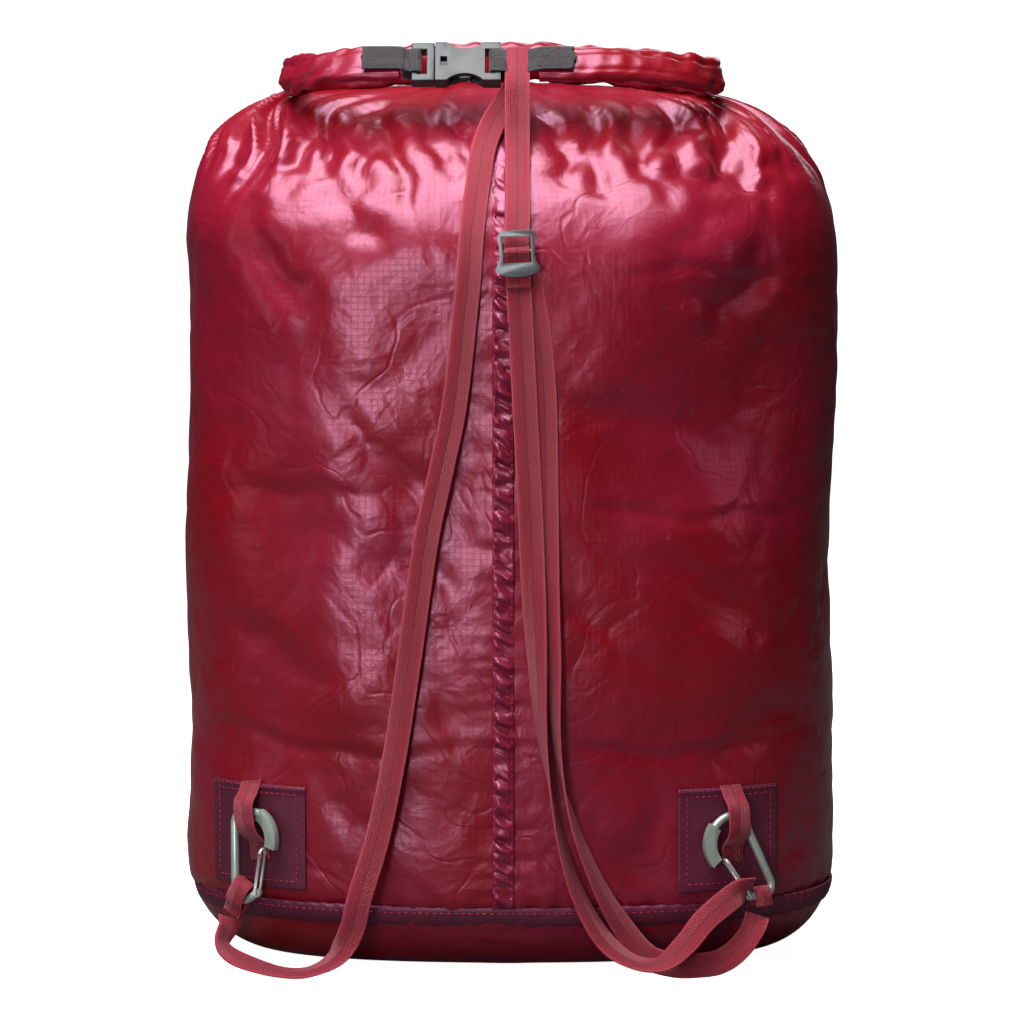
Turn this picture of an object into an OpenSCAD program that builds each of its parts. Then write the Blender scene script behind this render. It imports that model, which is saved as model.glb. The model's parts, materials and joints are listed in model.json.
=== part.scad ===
// Roll-top stuff sack, filled and closed, with a webbing carry strap that runs from the
// closed collar to two accessory carabiners at the foot of the sack.
// +Z is up, the strap side faces -Y, and the origin is the middle of the flat base.

/* [Sack] */
// Width of the filled sack, side to side
sack_w = 336; // [320:2:350]
// Depth of the filled sack, strap side to plain side
sack_d = 200; // [190:2:206]
// Height of the closed neck at its two ends
neck_z = 441; // [438:1:442]
// Wall of the coated cloth, with room for its coating and seams
cloth_t = 1.2; // [0.8:0.1:1.6]

/* [Collar] */
// Height of the rolled band
roll_h = 20; // [17:0.5:21]
// Thickness of the rolled band
roll_t = 9; // [7:0.5:10]

/* [Webbing] */
// Width of the carry strap
strap_w = 12.7; // [10:0.1:14]
// Thickness of the carry strap
strap_t = 1.2; // [0.8:0.1:1.4]
// Width of the two buckle tabs
tab_w = 15; // [12:0.5:15.5]

/* [Carabiners] */
// Diameter of the bent bar
bar_d = 4.2; // [3.6:0.1:4.4]
// Diameter of the gate wire
wire_d = 1.7; // [1.2:0.1:1.8]

/* [Hidden] */
sides = 48;
gap = 0.3;

// ---- Shape of the filled sack ----
squareness = 2.4;
base_half_w = 124;
base_half_d = 52;
base_round = 48;
seam_z = 34;
shoulder_w_z = 365;
shoulder_d_z = 350;
neck_half_w = 104;
neck_half_d = 5.2;
neck_x = -6;
neck_y = 14;
neck_arch = 7.5;

// Rises from 0 to 1 along a quarter circle as t goes from 0 to 1
function quarter(t) = sqrt(max(0, 1 - pow(1 - min(1, max(0, t)), 2)));
// Share of the way from height z0 up to the neck
function rise(z, z0) = min(1, max(0, (z - z0) / (neck_z - z0)));
function half_w(z) = z < shoulder_w_z
    ? base_half_w + (sack_w / 2 - base_half_w) * quarter(z / base_round)
    : neck_half_w + (sack_w / 2 - neck_half_w) * sqrt(max(0, 1 - pow(rise(z, shoulder_w_z), 2)));
function half_d(z) = z < shoulder_d_z
    ? base_half_d + (sack_d / 2 - base_half_d) * quarter(z / base_round)
    : neck_half_d + (sack_d / 2 - neck_half_d) * sqrt(max(0, 1 - pow(rise(z, shoulder_d_z), 2)));
function mid_x(z) = neck_x * pow(rise(z, shoulder_d_z), 2);
function mid_y(z) = neck_y * pow(rise(z, shoulder_d_z), 2);
// The neck stands higher in its middle than at its ends
function arch(x, z) = neck_arch * max(0, 1 - pow((x - mid_x(z)) / half_w(z), 2))
    * pow(rise(z, shoulder_w_z), 3);

// One ring of the sack at height z, grown outwards by out
function ring(z, out) = [for (i = [0:sides - 1])
    let (c = cos(360 * i / sides), s = sin(360 * i / sides),
        x = mid_x(z) + (half_w(z) + out) * sign(c) * pow(abs(c), 2 / squareness),
        y = mid_y(z) + (half_d(z) + out) * sign(s) * pow(abs(s), 2 / squareness))
    [x, y, z + arch(x, z)]];
// Depth of the strap side at x and z, standing out by out
function front_y(x, z, out = 0) = mid_y(z) - (half_d(z) + out)
    * pow(max(0, 1 - pow(abs(x - mid_x(z)) / (half_w(z) + out), squareness)), 1 / squareness);
// How far that side has turned away from -Y at x and z
function turn_at(x, z) = atan((front_y(x + 1, z) - front_y(x - 1, z)) / 2);

// ---- Meshes from rings ----
function flat(lists) = [for (l = lists) for (v = l) v];
// Two triangles for each step round the rings at a and b; from step flip on, the quads are cut
// along their other diagonal, so that the two walls of a thin piece are cut alike
function band(a, b, n, flip = 1e6) = flat([for (i = [0:n - 1]) let (j = (i + 1) % n)
    i < flip ? [[a + i, a + j, b + j], [a + i, b + j, b + i]] : [[a + i, a + j, b + i], [a + j, b + j, b + i]]]);
function back(faces) = [for (f = faces) [for (i = [len(f) - 1:-1:0]) f[i]]];

// A solid between two stacks of rings, with an open rim at the top, and a floor or a rim below
module hollow(outer, inner, floor = false) {
    n = len(outer[0]);
    m = len(outer);
    first = m * n;
    skin = flat([for (k = [0:m - 2]) band(k * n, (k + 1) * n, n)]);
    lining = flat([for (k = [0:m - 2]) band(first + k * n, first + (k + 1) * n, n)]);
    foot = floor
        ? [[for (i = [n - 1:-1:0]) i], [for (i = [0:n - 1]) first + i]]
        : back(band(0, first, n));
    polyhedron(flat([flat(outer), flat(inner)]),
        flat([back(skin), lining, back(band((m - 1) * n, first + (m - 1) * n, n)), back(foot)]));
}

// End face of a long ring in strips from one long side to the other
function cap(n) = [for (i = [0:n / 2 - 2]) [i, i + 1, n - 2 - i, n - 1 - i]];
function shifted(faces, by) = [for (f = faces) [for (i = f) i + by]];

// A solid through a stack of rings, closed at both ends
module loft(rings, flip = 1e6) {
    n = len(rings[0]);
    m = len(rings);
    polyhedron(flat(rings),
        flat([flat([for (k = [0:m - 2]) back(band(k * n, (k + 1) * n, n, flip))]),
            cap(n), back(shifted(cap(n), (m - 1) * n))]));
}

// ---- Sewn sack ----
tube_levels = concat([seam_z + 0.2, 41, base_round, 110, 180, 250, 310],
    [for (k = [0:9]) shoulder_d_z + (neck_z - shoulder_d_z) * sin(9 * k + 9 * k / 9)]);
base_levels = [for (k = [0:5]) seam_z * pow(k / 5, 2)];

module sack_tube() {
    color([0.55, 0.05, 0.13])
        hollow([for (z = tube_levels) ring(z, 0)], [for (z = tube_levels) ring(z, -cloth_t)]);
}

module base_panel() {
    color([0.45, 0.04, 0.1])
        hollow([for (z = base_levels) ring(z, 0)],
            [for (z = base_levels) [for (p = ring(z, -cloth_t))
                [p[0], p[1], max(cloth_t * (1 + z / 100), z)]]], true);
}

// A thin piece that lies on the strap side of the sack, between out and out + t. Its rows lie
// on the sack's own rows where they can, so that neither cuts into the other.
module laid_on(x0, x1, levels, nx, out, t) {
    edge = concat([for (i = [0:nx]) [x0 + (x1 - x0) * i / nx, out + t]],
        [for (i = [nx:-1:0]) [x0 + (x1 - x0) * i / nx, out]]);
    loft([for (z = levels) [for (e = edge) [e[0], front_y(e[0], z, e[1]), z + arch(e[0], z)]]], nx + 1);
}
function between(z0, z1) = concat([z0], [for (z = tube_levels) if (z > z0 + 1 && z < z1 - 1) z], [z1]);

module back_seam_strip() {
    color([0.4, 0.05, 0.12])
        laid_on(-10.5, 0.5, between(seam_z + 2, neck_z - 4), 2, 0.2, 0.5);
}

module base_seam_tape() {
    levels = [30, 34, 38, 42];
    color([0.3, 0.05, 0.1])
        hollow([for (z = levels) ring(z, -cloth_t - 1.3)], [for (z = levels) ring(z, -cloth_t - 1.8)]);
}

// ---- Rolled collar ----
// Stations of the band from the left arm's end, round the back, to the right arm's end:
// x, y and z of its middle, and how far it leans back from upright
collar_route = [[-57, -50, 458.5, 42], [-76, -48.5, 458.5, 42], [-94, -41, 456.5, 36],
    [-109, -26, 453.5, 20], [-115, -8, 452, 6], [-108, 8, 452.3, 0], [-88, 14, 454, 0],
    [-48, 14, 457.7, 0], [-6, 14, 459.3, 0], [36, 14, 457.7, 0], [74, 14, 454, 0],
    [95, 8, 452.3, 0], [103, -8, 452, 6], [96, -25, 453.5, 20], [79, -38, 456.5, 36],
    [56, -46, 458.5, 42], [34, -50, 458.5, 42], [13, -50, 458.5, 42]];

// Smooth curve through the stations of a route
function pick(r, i) = r[min(len(r) - 1, max(0, i))];
function spline(a, b, c, d, t) = 0.5 * (2 * b + (c - a) * t + (2 * a - 5 * b + 4 * c - d) * t * t
    + (3 * b - a - 3 * c + d) * t * t * t);
function smooth(r, steps) = concat([for (i = [0:len(r) - 2]) for (k = [0:steps - 1])
    spline(pick(r, i - 1), r[i], r[i + 1], pick(r, i + 2), k / steps)], [r[len(r) - 1]]);
function place(p) = [p[0], p[1], p[2]];
function unit(v) = v / max(1e-9, norm(v));
function heading(r, i) = unit(place(pick(r, i + 1)) - place(pick(r, i - 1)));

// Ring of a band with rounded edges: h is its height and t its thickness
function band_ring(r, i, h, t) = let (d = heading(r, i), side = unit([-d[1], d[0], 0]),
    lean = r[i][3], up = [side[0] * -sin(lean), side[1] * -sin(lean), cos(lean)],
    out = [side[0] * cos(lean), side[1] * cos(lean), sin(lean)])
    [for (c = [[0.6, -1], [-0.6, -1], [-1, -0.6], [-1, 0.6], [-0.6, 1], [0.6, 1], [1, 0.6], [1, -0.6]])
        place(r[i]) - out * c[0] * t / 2 + up * (c[1] * h / 2)];
function band_rings(h, t) = let (r = smooth(collar_route, 3))
    [for (i = [0:len(r) - 1]) band_ring(r, i, h, t)];

module rolled_collar() {
    color([0.6, 0.07, 0.16])
        hollow(band_rings(roll_h, roll_t), band_rings(roll_h - 3, roll_t - 3));
}

module collar_stiffener() {
    color([0.15, 0.15, 0.17]) loft(band_rings(roll_h - 5, roll_t - 5));
}

// ---- Side-release buckle, in its own frame: x along it, y across it, z out of its face ----
buckle_at = [-28.8, -50, 458.5];
buckle_lean = 48;
module at_buckle() {
    translate(buckle_at) rotate([buckle_lean, 0, 0]) children();
}
buckle_w = 25;
buckle_t = 6.6;
socket_x0 = -10.5;
socket_x1 = 22.5;
plug_x0 = -22.5;
slot_w = 16.4;
prong_root = [-10.6, 6.2];

module socket_outline() {
    difference() {
        translate([socket_x0, -buckle_w / 2]) square([socket_x1 - socket_x0, buckle_w]);
        for (s = [-1, 1]) translate([4.5, s * 20.2]) circle(r = 12, $fn = 64);
    }
}

module buckle_socket() {
    color([0.25, 0.28, 0.3]) at_buckle() difference() {
        translate([0, 0, -buckle_t / 2]) linear_extrude(buckle_t) socket_outline();
        translate([socket_x0 - 1, -11, -1.8]) cube([23.5, 22, 3.6]);
        translate([14.5, -slot_w / 2, -5]) cube([3.6, slot_w, 10]);
        translate([-8, -3, 0]) cube([3.5, 6, 5]);
    }
}

module buckle_plug() {
    color([0.2, 0.22, 0.24]) at_buckle() {
        difference() {
            translate([plug_x0, -buckle_w / 2, -2.9]) cube([socket_x0 - gap - plug_x0, buckle_w, 5.8]);
            translate([-19, -slot_w / 2, -5]) cube([4.2, slot_w, 10]);
        }
        translate([socket_x0 - gap - 1, -1.8, -1.4]) cube([14, 3.6, 2.8]);
    }
}

// A springy arm with its thumb pad; s is 1 for the upper one and -1 for the lower one
module buckle_prong(s) {
    color([0.2, 0.22, 0.24]) at_buckle() translate([0, 0, -1.4])
        linear_extrude(2.8) {
            polygon([[prong_root[0], s * 5.2], [1, s * 5.4], [1, s * 7.6], [prong_root[0], s * 7.2]]);
            polygon([[0.5, s * 4.6], [8.5, s * 4.6], [8.5, s * 7.6], [7, s * 9.6], [2, s * 9.6], [0.5, s * 7.6]]);
        }
}

// Webbing looped round the buckle bar from near to far, then laid on the arm up to end_x
module buckle_tab(near, far, half_t, lift_x, end_x) {
    s = sign(end_x - near);
    face = roll_t / 2 + 0.5;
    t = 1.1;
    color([0.17, 0.19, 0.2]) at_buckle() rotate([90, 0, 0])
        translate([0, 0, -tab_w / 2]) linear_extrude(tab_w) {
            difference() {
                polygon([[near - s * (t + gap), -half_t - t], [far + s * (t + gap), -half_t - t],
                    [far + s * (t + gap), half_t + t], [near - s * (t + gap), half_t + t]]);
                polygon([[near - s * gap, -half_t], [far + s * gap, -half_t],
                    [far + s * gap, half_t], [near - s * gap, half_t]]);
            }
            polygon([[far + s * (gap + 0.1), -0.6], [lift_x - s * 1.5, -0.6], [lift_x, face],
                [end_x, face], [end_x, face + 1.2], [lift_x - s * 1, face + 1.2],
                [lift_x - s * 2.6, 0.6], [far + s * (gap + 0.1), 0.6]]);
        }
}

module buckle_tab_left() { buckle_tab(-19, plug_x0, 3.2, -27.3, -48); }
module buckle_tab_right() { buckle_tab(18.1, socket_x1, 3.6, 41.5, 61); }

// ---- Corner patches and their webbing loops ----
// Where each carabiner hangs on the strap side: x on the cloth, and the height of its bow
left_x = -130.5;
right_x = 109.5;
bow_z = 82.5;
bow_out = 5.2;
rest_lean = -5;
patch_z = [43, 96];
module at_corner(x) {
    translate([x, front_y(x, bow_z), bow_z]) rotate([0, 0, turn_at(x, bow_z)])
        translate([0, -bow_out, 0]) children();
}

module corner_patch(x0, x1) {
    color([0.33, 0.06, 0.14]) laid_on(x0, x1, between(patch_z[0], patch_z[1]), 12, 0.2, 0.65);
}

// Webbing sewn to the top hem of the patch, passed over the bow and stitched down below it
module patch_loop(x) {
    f = bow_out - 1.05;
    front = f - strap_t;
    color([0.6, 0.06, 0.15]) at_corner(x) rotate([90, 0, 90])
        translate([0, 0, -strap_w / 2]) linear_extrude(strap_w)
            polygon([[front, 12.6], [-6.5, 5.1], [-6.5, -9.7], [front, -16.3], [front, -24.5],
                [f, -24.5], [f, -15.7], [-5.3, -9.1], [-5.3, 4.5], [f, 12], [f, 12.6]]);
}

// ---- Accessory carabiner with a wire gate, in its own frame ----
// x towards the spine, z up, and its bow's top at the origin
bow_r = 14.54;
crown_c = [2.56, -6.56];
crown_r = 6.18;
crown_a = 72.2;
foot_c = [3.04, -39.9];
foot_r = 5.7;
foot_a = -118;
flat_a = 118;
nose_a = 197;
gate_pivot = [-4.94, -41.7];
gate_end = [-8.93, -19.4];
wire_gap = 2.2;

module arc(centre, r, from, to) {
    translate([centre[0], 0, centre[1]]) rotate([90, 0, 0]) rotate([0, 0, from])
        rotate_extrude(angle = to - from, $fn = 96) translate([r, 0]) children();
}
module bar(a, b, d, y = 0) {
    v = b - a;
    translate([a[0], y, a[1]]) rotate([0, 90 - atan2(v[1], v[0]), 0]) cylinder(h = norm(v), d = d, $fn = 32);
}
module pin(at, d, w) {
    translate([at[0], w / 2, at[1]]) rotate([90, 0, 0]) cylinder(h = w, d = d, $fn = 32);
}
function on_circle(c, r, a) = c + r * [cos(a), sin(a)];
foot_end = on_circle(foot_c, foot_r, foot_a);

// The bends are a hair thinner than the straights, and run a little way into them
module carabiner_body() {
    bend_d = bar_d - 0.2;
    difference() {
        union() {
            arc([0, -bow_r], bow_r, crown_a, flat_a + 4) circle(d = bar_d, $fn = 32);
            arc([0, -bow_r], bow_r, flat_a, nose_a) square([6.2, bar_d - 0.4], center = true);
            arc(crown_c, crown_r, -3, crown_a + 4) circle(d = bend_d, $fn = 32);
            bar([crown_c[0] + crown_r, crown_c[1]], [foot_c[0] + foot_r, foot_c[1]], bar_d);
            arc(foot_c, foot_r, foot_a - 3, 3) circle(d = bend_d, $fn = 32);
            bar(foot_end, gate_pivot + 1.9 * unit(foot_end - gate_pivot), bar_d);
            pin(gate_pivot, bar_d + 0.4, 2 * wire_gap - wire_d - 0.6);
        }
        pin(gate_pivot, wire_d + 0.1, 10);
    }
}

// A bent wire: two legs, the bend that meets the nose, and two pins in the pivot hole
module carabiner_gate() {
    v = unit(gate_end - gate_pivot);
    tip = gate_end - v * wire_gap;
    for (s = [-1, 1]) {
        bar(gate_pivot - v * 0.9, tip + v * 0.3, wire_d - 0.1, s * wire_gap);
        translate([gate_pivot[0], 0, gate_pivot[1]]) rotate([s * 90, 0, 0]) translate([0, 0, 0.4])
            cylinder(h = wire_gap, d = wire_d - 0.3, $fn = 32);
    }
    translate([tip[0], 0, tip[1]]) rotate([0, 90 - atan2(v[1], v[0]), 0]) rotate([90, 0, 90])
        rotate_extrude(angle = 180, $fn = 64) translate([wire_gap, 0]) circle(d = wire_d, $fn = 32);
}

// The left carabiner is the right one turned over; each hangs from the top of its bow
module hang_left() {
    at_corner(left_x) rotate([rest_lean, -4, 0]) translate([-1.1, 0, 0]) mirror([1, 0, 0]) children();
}
module hang_right() {
    at_corner(right_x) rotate([rest_lean, -23.5, 0]) translate([-5.3, 0, 0.9]) children();
}
metal = [0.72, 0.76, 0.73];
module carabiner_left_body() { color(metal) hang_left() carabiner_body(); }
module carabiner_left_gate() { color(metal) hang_left() carabiner_gate(); }
module carabiner_right_body() { color(metal) hang_right() carabiner_body(); }
module carabiner_right_gate() { color(metal) hang_right() carabiner_gate(); }

// ---- Slider, in its own frame: x across the strap, z up along it, -y outwards ----
slider_at = [1.8, -106.1, 366.5];
slider_lean = -3;
module at_slider() {
    translate(slider_at) rotate([0, slider_lean, 0]) children();
}

module strap_slider() {
    color([0.3, 0.34, 0.36]) at_slider() {
        translate([0, 1.1, 0]) rotate([90, 0, 0]) linear_extrude(2.2) difference() {
            union() {
                polygon([[-9.2, 9.5], [-7.2, 11.5], [7.2, 11.5], [9.2, 9.5], [8.6, -1], [9.3, -4], [11.5, -7.8],
                    [9.5, -9.6], [-9.5, -9.6], [-11.5, -7.8], [-9.3, -4], [-8.6, -1]]);
                intersection() {
                    translate([0, 16]) circle(r = 27.5, $fn = 96);
                    translate([-9.5, -14]) square([19, 8]);
                }
            }
            translate([-6.9, -4.6]) square([13.8, 13.2]);
        }
        translate([-8, 0, 1]) rotate([0, 90, 0]) cylinder(h = 16, r = 1, $fn = 32);
    }
}

module strap_slider_wrap() {
    color([0.58, 0.06, 0.16]) at_slider() translate([-6.2, 0, 1]) rotate([90, 0, 90])
        linear_extrude(12.4) difference() {
            union() {
                circle(r = 2.4, $fn = 48);
                translate([1.25, -17]) square([1.1, 17]);
            }
            circle(r = 1.25, $fn = 48);
        }
}

// ---- Carry strap: x, y, z of its middle, and the direction that its face looks ----
left_run = [[2.4, -45.2, 466.9, 0, -0.3, 1], [2.4, -43.2, 465.9, 0, 1, 1], [2.4, -42.9, 463.3, 0, 1, -0.5],
    [2.4, -46.1, 458.9, 0, 0.75, -0.65], [2.4, -49.9, 454.3, 0, 0.75, -0.65], [0.8, -53.7, 446.3, 0, 1, -0.3],
    [-5, -57.6, 438, 0, 1, -0.2], [-11, -62, 428, 0, 1, -0.4], [-15, -70.2, 417, 0, 0.9, -0.5],
    [-17, -81.6, 404.8, 0, 0.8, -0.6], [-19, -91.4, 390.2, 0, 0.9, -0.4], [-21, -98.8, 372.6, 0, 1, -0.2],
    [-22.6, -101.8, 350, 0, 1, 0], [-29, -102, 293, 0, 1, 0], [-36, -102, 258, 0, 1, 0],
    [-43, -102, 226, 0, 1, 0], [-48, -102, 193, 0.1, 1, 0], [-54, -102.6, 150, 0.3, 1, 0],
    [-60, -103.5, 112, 0.35, 1, 0], [-68, -105.5, 74, 0.25, 1, 0], [-77, -108, 44, 0.1, 1, -0.1],
    [-81.5, -106.5, 26, 0, 0.9, -0.3], [-90, -103, 12, 0, 0.6, -0.8], [-103, -99, 4.2, 0, 0.3, -1],
    [-117, -95.5, 3.2, 0, 0.2, -1], [-133, -91.5, 6.6, -0.2, 0.4, -0.9], [-143.5, -88, 11, -0.6, 0.5, -0.5],
    [-147.5, -84, 17, -0.8, 0.6, 0], [-145, -79.5, 23, -0.6, 0.8, 0]];
right_run = [[2, -46.6, 466.7, 0, -0.7, 0.8], [2, -48, 465.2, 0, -0.74, 0.67], [2, -53, 459.6, 0, -0.74, 0.67],
    [2, -57.4, 454.2, 0, -0.8, 0.5], [2, -60.4, 448, 0, -1, 0.2], [2, -62.6, 437, 0, -1, 0.1],
    [2, -66.4, 423.4, 0, -1, 0.3], [2, -74.8, 410.8, 0, -0.85, 0.5], [2, -86.6, 397.8, 0, -0.9, 0.5],
    [2, -96.8, 384.8, 0, -1, 0.3], [1.5, -102.3, 372, 0, -1, 0], [2.4, -102.5, 355, 0, -1, 0],
    [5, -102.5, 305, 0, -1, 0], [8.2, -102.5, 243.5, 0, -1, 0], [9.8, -103.3, 205, -0.2, -1, 0],
    [11.6, -105.5, 168, -0.6, -0.8, 0], [14, -107.4, 128, -0.9, -0.4, 0], [18.5, -108, 98, -1, 0, 0],
    [25, -108.5, 68, -1, 0.35, -0.2], [34, -109.5, 42, -0.8, 0.6, -0.4], [46, -110.5, 22, -0.5, 0.7, -0.6],
    [60, -111.5, 12, -0.2, 0.4, -0.9], [74, -111, 10.5, 0.1, 0.4, -0.9], [86, -107, 19.5, 0.3, 0.8, -0.5],
    [96, -102.5, 31, 0.3, 1, -0.3], [106, -98.6, 39, 0.2, 1, -0.2]];
right_return = [[6.5, -101, 357, 0, -1, 0], [9.6, -101, 344, 0, -1, 0], [13.5, -101, 318, 0, -1, 0],
    [15.5, -101, 290, 0, -1, 0], [16.3, -101.1, 245, -0.05, -1, 0], [17, -102.5, 200, -0.3, -1, 0],
    [18.5, -104.5, 165, -0.55, -0.85, 0], [20.5, -106.4, 130, -0.9, -0.45, 0], [24.5, -107.1, 103, -1, -0.1, 0],
    [32, -107.3, 76, -1, 0.3, -0.2], [44, -105.8, 47, -0.8, 0.6, -0.4], [56, -101.2, 26, -0.5, 0.9, -0.3],
    [67, -100, 12.5, -0.2, 1, -0.2], [80, -100.5, 8, 0, 1, -0.2], [92, -101, 7.8, 0, 1, -0.1],
    [104, -100, 9.5, 0.2, 1, -0.1], [114, -97, 16, 0.4, 1, -0.2], [121, -92.8, 25, 0.3, 1, -0.3]];

// Ring of a flat strap at one station of its route
function strap_ring(r, i, w, t) = let (d = heading(r, i), n0 = [r[i][3], r[i][4], r[i][5]],
    across = unit(cross(d, n0)), n = cross(across, d))
    [for (c = [[-1, 1], [1, 1], [1, -1], [-1, -1]]) place(r[i]) + across * (c[0] * w / 2) + n * (c[1] * t / 2)];
module strap(route, steps = 2) {
    r = smooth(route, steps);
    color([0.62, 0.08, 0.2]) loft([for (i = [0:len(r) - 1]) strap_ring(r, i, strap_w, strap_t)], 2);
}

module strap_left_run() { strap(left_run); }
module strap_right_run() { strap(right_run); }
module strap_right_return() { strap(right_return); }

// Sewn eye of the strap round the foot bend of the left carabiner, in that carabiner's frame.
// The webbing is bunched there, so it is narrower than the strap.
eye_lean = 60;
eye_w = 10.4;
module strap_left_end_loop() {
    t = strap_t;
    color([0.6, 0.06, 0.15]) hang_left()
        translate([foot_c[0] + foot_r * cos(eye_lean), 0, foot_c[1] - foot_r * sin(eye_lean)])
            rotate([0, eye_lean, 0]) translate([0, 0, -4.4]) linear_extrude(eye_w)
                difference() {
                    polygon([[-9.3 - t, -1.4], [-7.4, -3.1 - t], [1.6, -3.1 - t], [6.6, -t - 0.1], [9.5, -t - 0.1],
                        [9.5, t + 0.1], [6.6, t + 0.1], [1.6, 3.1 + t], [-7.4, 3.1 + t], [-9.3 - t, 1.4]]);
                    polygon([[-9.3, -1], [-7, -3.1], [1.2, -3.1], [5.4, -0.4], [5.4, 0.4], [1.2, 3.1],
                        [-7, 3.1], [-9.3, 1]]);
                }
}

// The strap's turn over the foot bar of the right carabiner, in that carabiner's frame
bend_w = 8;
bend_lean = 18.6;
module strap_right_bend() {
    r = 3.4;
    color([0.62, 0.08, 0.2]) hang_right() translate([0.8, 0, -44.3]) rotate([0, bend_lean, 0])
        rotate([90, 0, 90]) translate([0, 0, -bend_w / 2]) linear_extrude(bend_w) {
            difference() {
                circle(r = r + strap_t, $fn = 48);
                circle(r = r, $fn = 48);
                translate([-10, -10]) square([20, 10]);
            }
            for (s = [-1, 1]) translate([s * (r + strap_t / 2) - strap_t / 2, -4]) square([strap_t, 4.1]);
        }
}

sack_tube();
base_panel();
back_seam_strip();
base_seam_tape();
rolled_collar();
collar_stiffener();
buckle_tab_left();
buckle_tab_right();
buckle_socket();
buckle_plug();
buckle_prong(1);  // buckle_prong_upper
buckle_prong(-1);  // buckle_prong_lower
corner_patch(-153, -105);  // corner_patch_left
corner_patch(83, 134);  // corner_patch_right
patch_loop(left_x);  // patch_loop_left
patch_loop(right_x);  // patch_loop_right
carabiner_left_body();
carabiner_left_gate();
carabiner_right_body();
carabiner_right_gate();
strap_slider();
strap_slider_wrap();
strap_left_run();
strap_left_end_loop();
strap_right_run();
strap_right_return();
strap_right_bend();
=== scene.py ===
"""Looks of a roll-top stuff sack: puckered ripstop cloth, rolled collar, webbing and hardware."""
import json
import math
import bpy
import bmesh
import numpy as np
from mathutils import Matrix, Vector, noise

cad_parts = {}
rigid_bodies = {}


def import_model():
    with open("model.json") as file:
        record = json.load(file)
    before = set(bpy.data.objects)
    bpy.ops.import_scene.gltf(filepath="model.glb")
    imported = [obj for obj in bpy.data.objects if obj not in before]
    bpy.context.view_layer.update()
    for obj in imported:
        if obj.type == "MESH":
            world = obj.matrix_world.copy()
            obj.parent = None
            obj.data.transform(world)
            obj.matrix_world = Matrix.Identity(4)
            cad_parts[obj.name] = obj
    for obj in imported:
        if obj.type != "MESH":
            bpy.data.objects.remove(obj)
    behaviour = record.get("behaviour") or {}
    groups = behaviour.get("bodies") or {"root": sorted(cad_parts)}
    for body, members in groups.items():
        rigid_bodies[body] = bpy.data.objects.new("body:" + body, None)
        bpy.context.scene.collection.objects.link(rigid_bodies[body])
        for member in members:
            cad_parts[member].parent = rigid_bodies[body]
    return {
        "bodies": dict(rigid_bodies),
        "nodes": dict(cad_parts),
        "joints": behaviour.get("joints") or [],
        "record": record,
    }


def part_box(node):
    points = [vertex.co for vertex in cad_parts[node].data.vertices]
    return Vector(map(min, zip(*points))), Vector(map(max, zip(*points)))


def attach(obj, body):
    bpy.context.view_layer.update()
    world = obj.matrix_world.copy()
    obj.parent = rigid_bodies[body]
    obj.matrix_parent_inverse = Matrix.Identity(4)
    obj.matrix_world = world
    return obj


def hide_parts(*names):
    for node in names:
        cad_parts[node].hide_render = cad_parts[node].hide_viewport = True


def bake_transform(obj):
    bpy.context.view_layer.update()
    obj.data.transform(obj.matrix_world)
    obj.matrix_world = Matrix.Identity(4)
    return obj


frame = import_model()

bl_info = {
    "name": "Roll-top stuff sack",
    "version": (1, 0, 0),
    "blender": (4, 5, 0),
    "location": "View3D > Sidebar > Stuff sack",
    "description": "Builds the cloth, webbing, hardware and stage of a roll-top stuff sack",
    "category": "Object",
}

MM = 0.001
GROUND_GAP = 0.0003
STRAP_W, STRAP_T = 12.6 * MM, 1.1 * MM
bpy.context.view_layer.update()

# ------------------------------------------------------------------ sizes and colours


class SackProps(bpy.types.PropertyGroup):
    """Sizes of the soft parts"""
    columns: bpy.props.IntProperty(name="Columns", description="Mesh columns round the sack", default=340, min=60)
    rows: bpy.props.IntProperty(name="Rows", description="Mesh rows up the sack", default=230, min=60)
    crumple: bpy.props.FloatProperty(
        name="Crumple", description="Depth of the creases in the filled cloth", default=2.6 * MM, unit="LENGTH")
    gather: bpy.props.FloatProperty(
        name="Gathers", description="Depth of the pleats under the collar", default=4.6 * MM, unit="LENGTH")
    pucker: bpy.props.FloatProperty(
        name="Pucker", description="Depth of the puckers beside a seam", default=0.9 * MM, unit="LENGTH")


class ClothProps(bpy.types.PropertyGroup):
    """Colours of the fabrics"""
    cloth: bpy.props.FloatVectorProperty(
        name="Cloth", description="Deep tone of the ripstop", subtype="COLOR", default=(0.21, 0.0008, 0.004))
    # the pale tone is a painted sheen: pinkish patches that stand in for reflections on the cloth
    cloth_painted_sheen: bpy.props.FloatVectorProperty(
        name="Pale cloth", description="Tone of the ripstop laid as a painted sheen in random patches", subtype="COLOR",
        default=(0.22, 0.004, 0.020))
    patch: bpy.props.FloatVectorProperty(
        name="Patch", description="Tone of the reinforced cloth", subtype="COLOR", default=(0.075, 0.006, 0.02))
    webbing: bpy.props.FloatVectorProperty(
        name="Webbing", description="Tone of the carry strap", subtype="COLOR", default=(0.34, 0.012, 0.036))
    thread: bpy.props.FloatVectorProperty(
        name="Thread", description="Tone of the stitches", subtype="COLOR", default=(0.62, 0.012, 0.07))
    thread_dark: bpy.props.FloatVectorProperty(
        name="Dark thread", description="Tone of the box stitches", subtype="COLOR", default=(0.06, 0.008, 0.014))
    tab: bpy.props.FloatVectorProperty(
        name="Tab webbing", description="Tone of the buckle's webbing", subtype="COLOR",
        default=(0.018, 0.022, 0.026))


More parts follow.
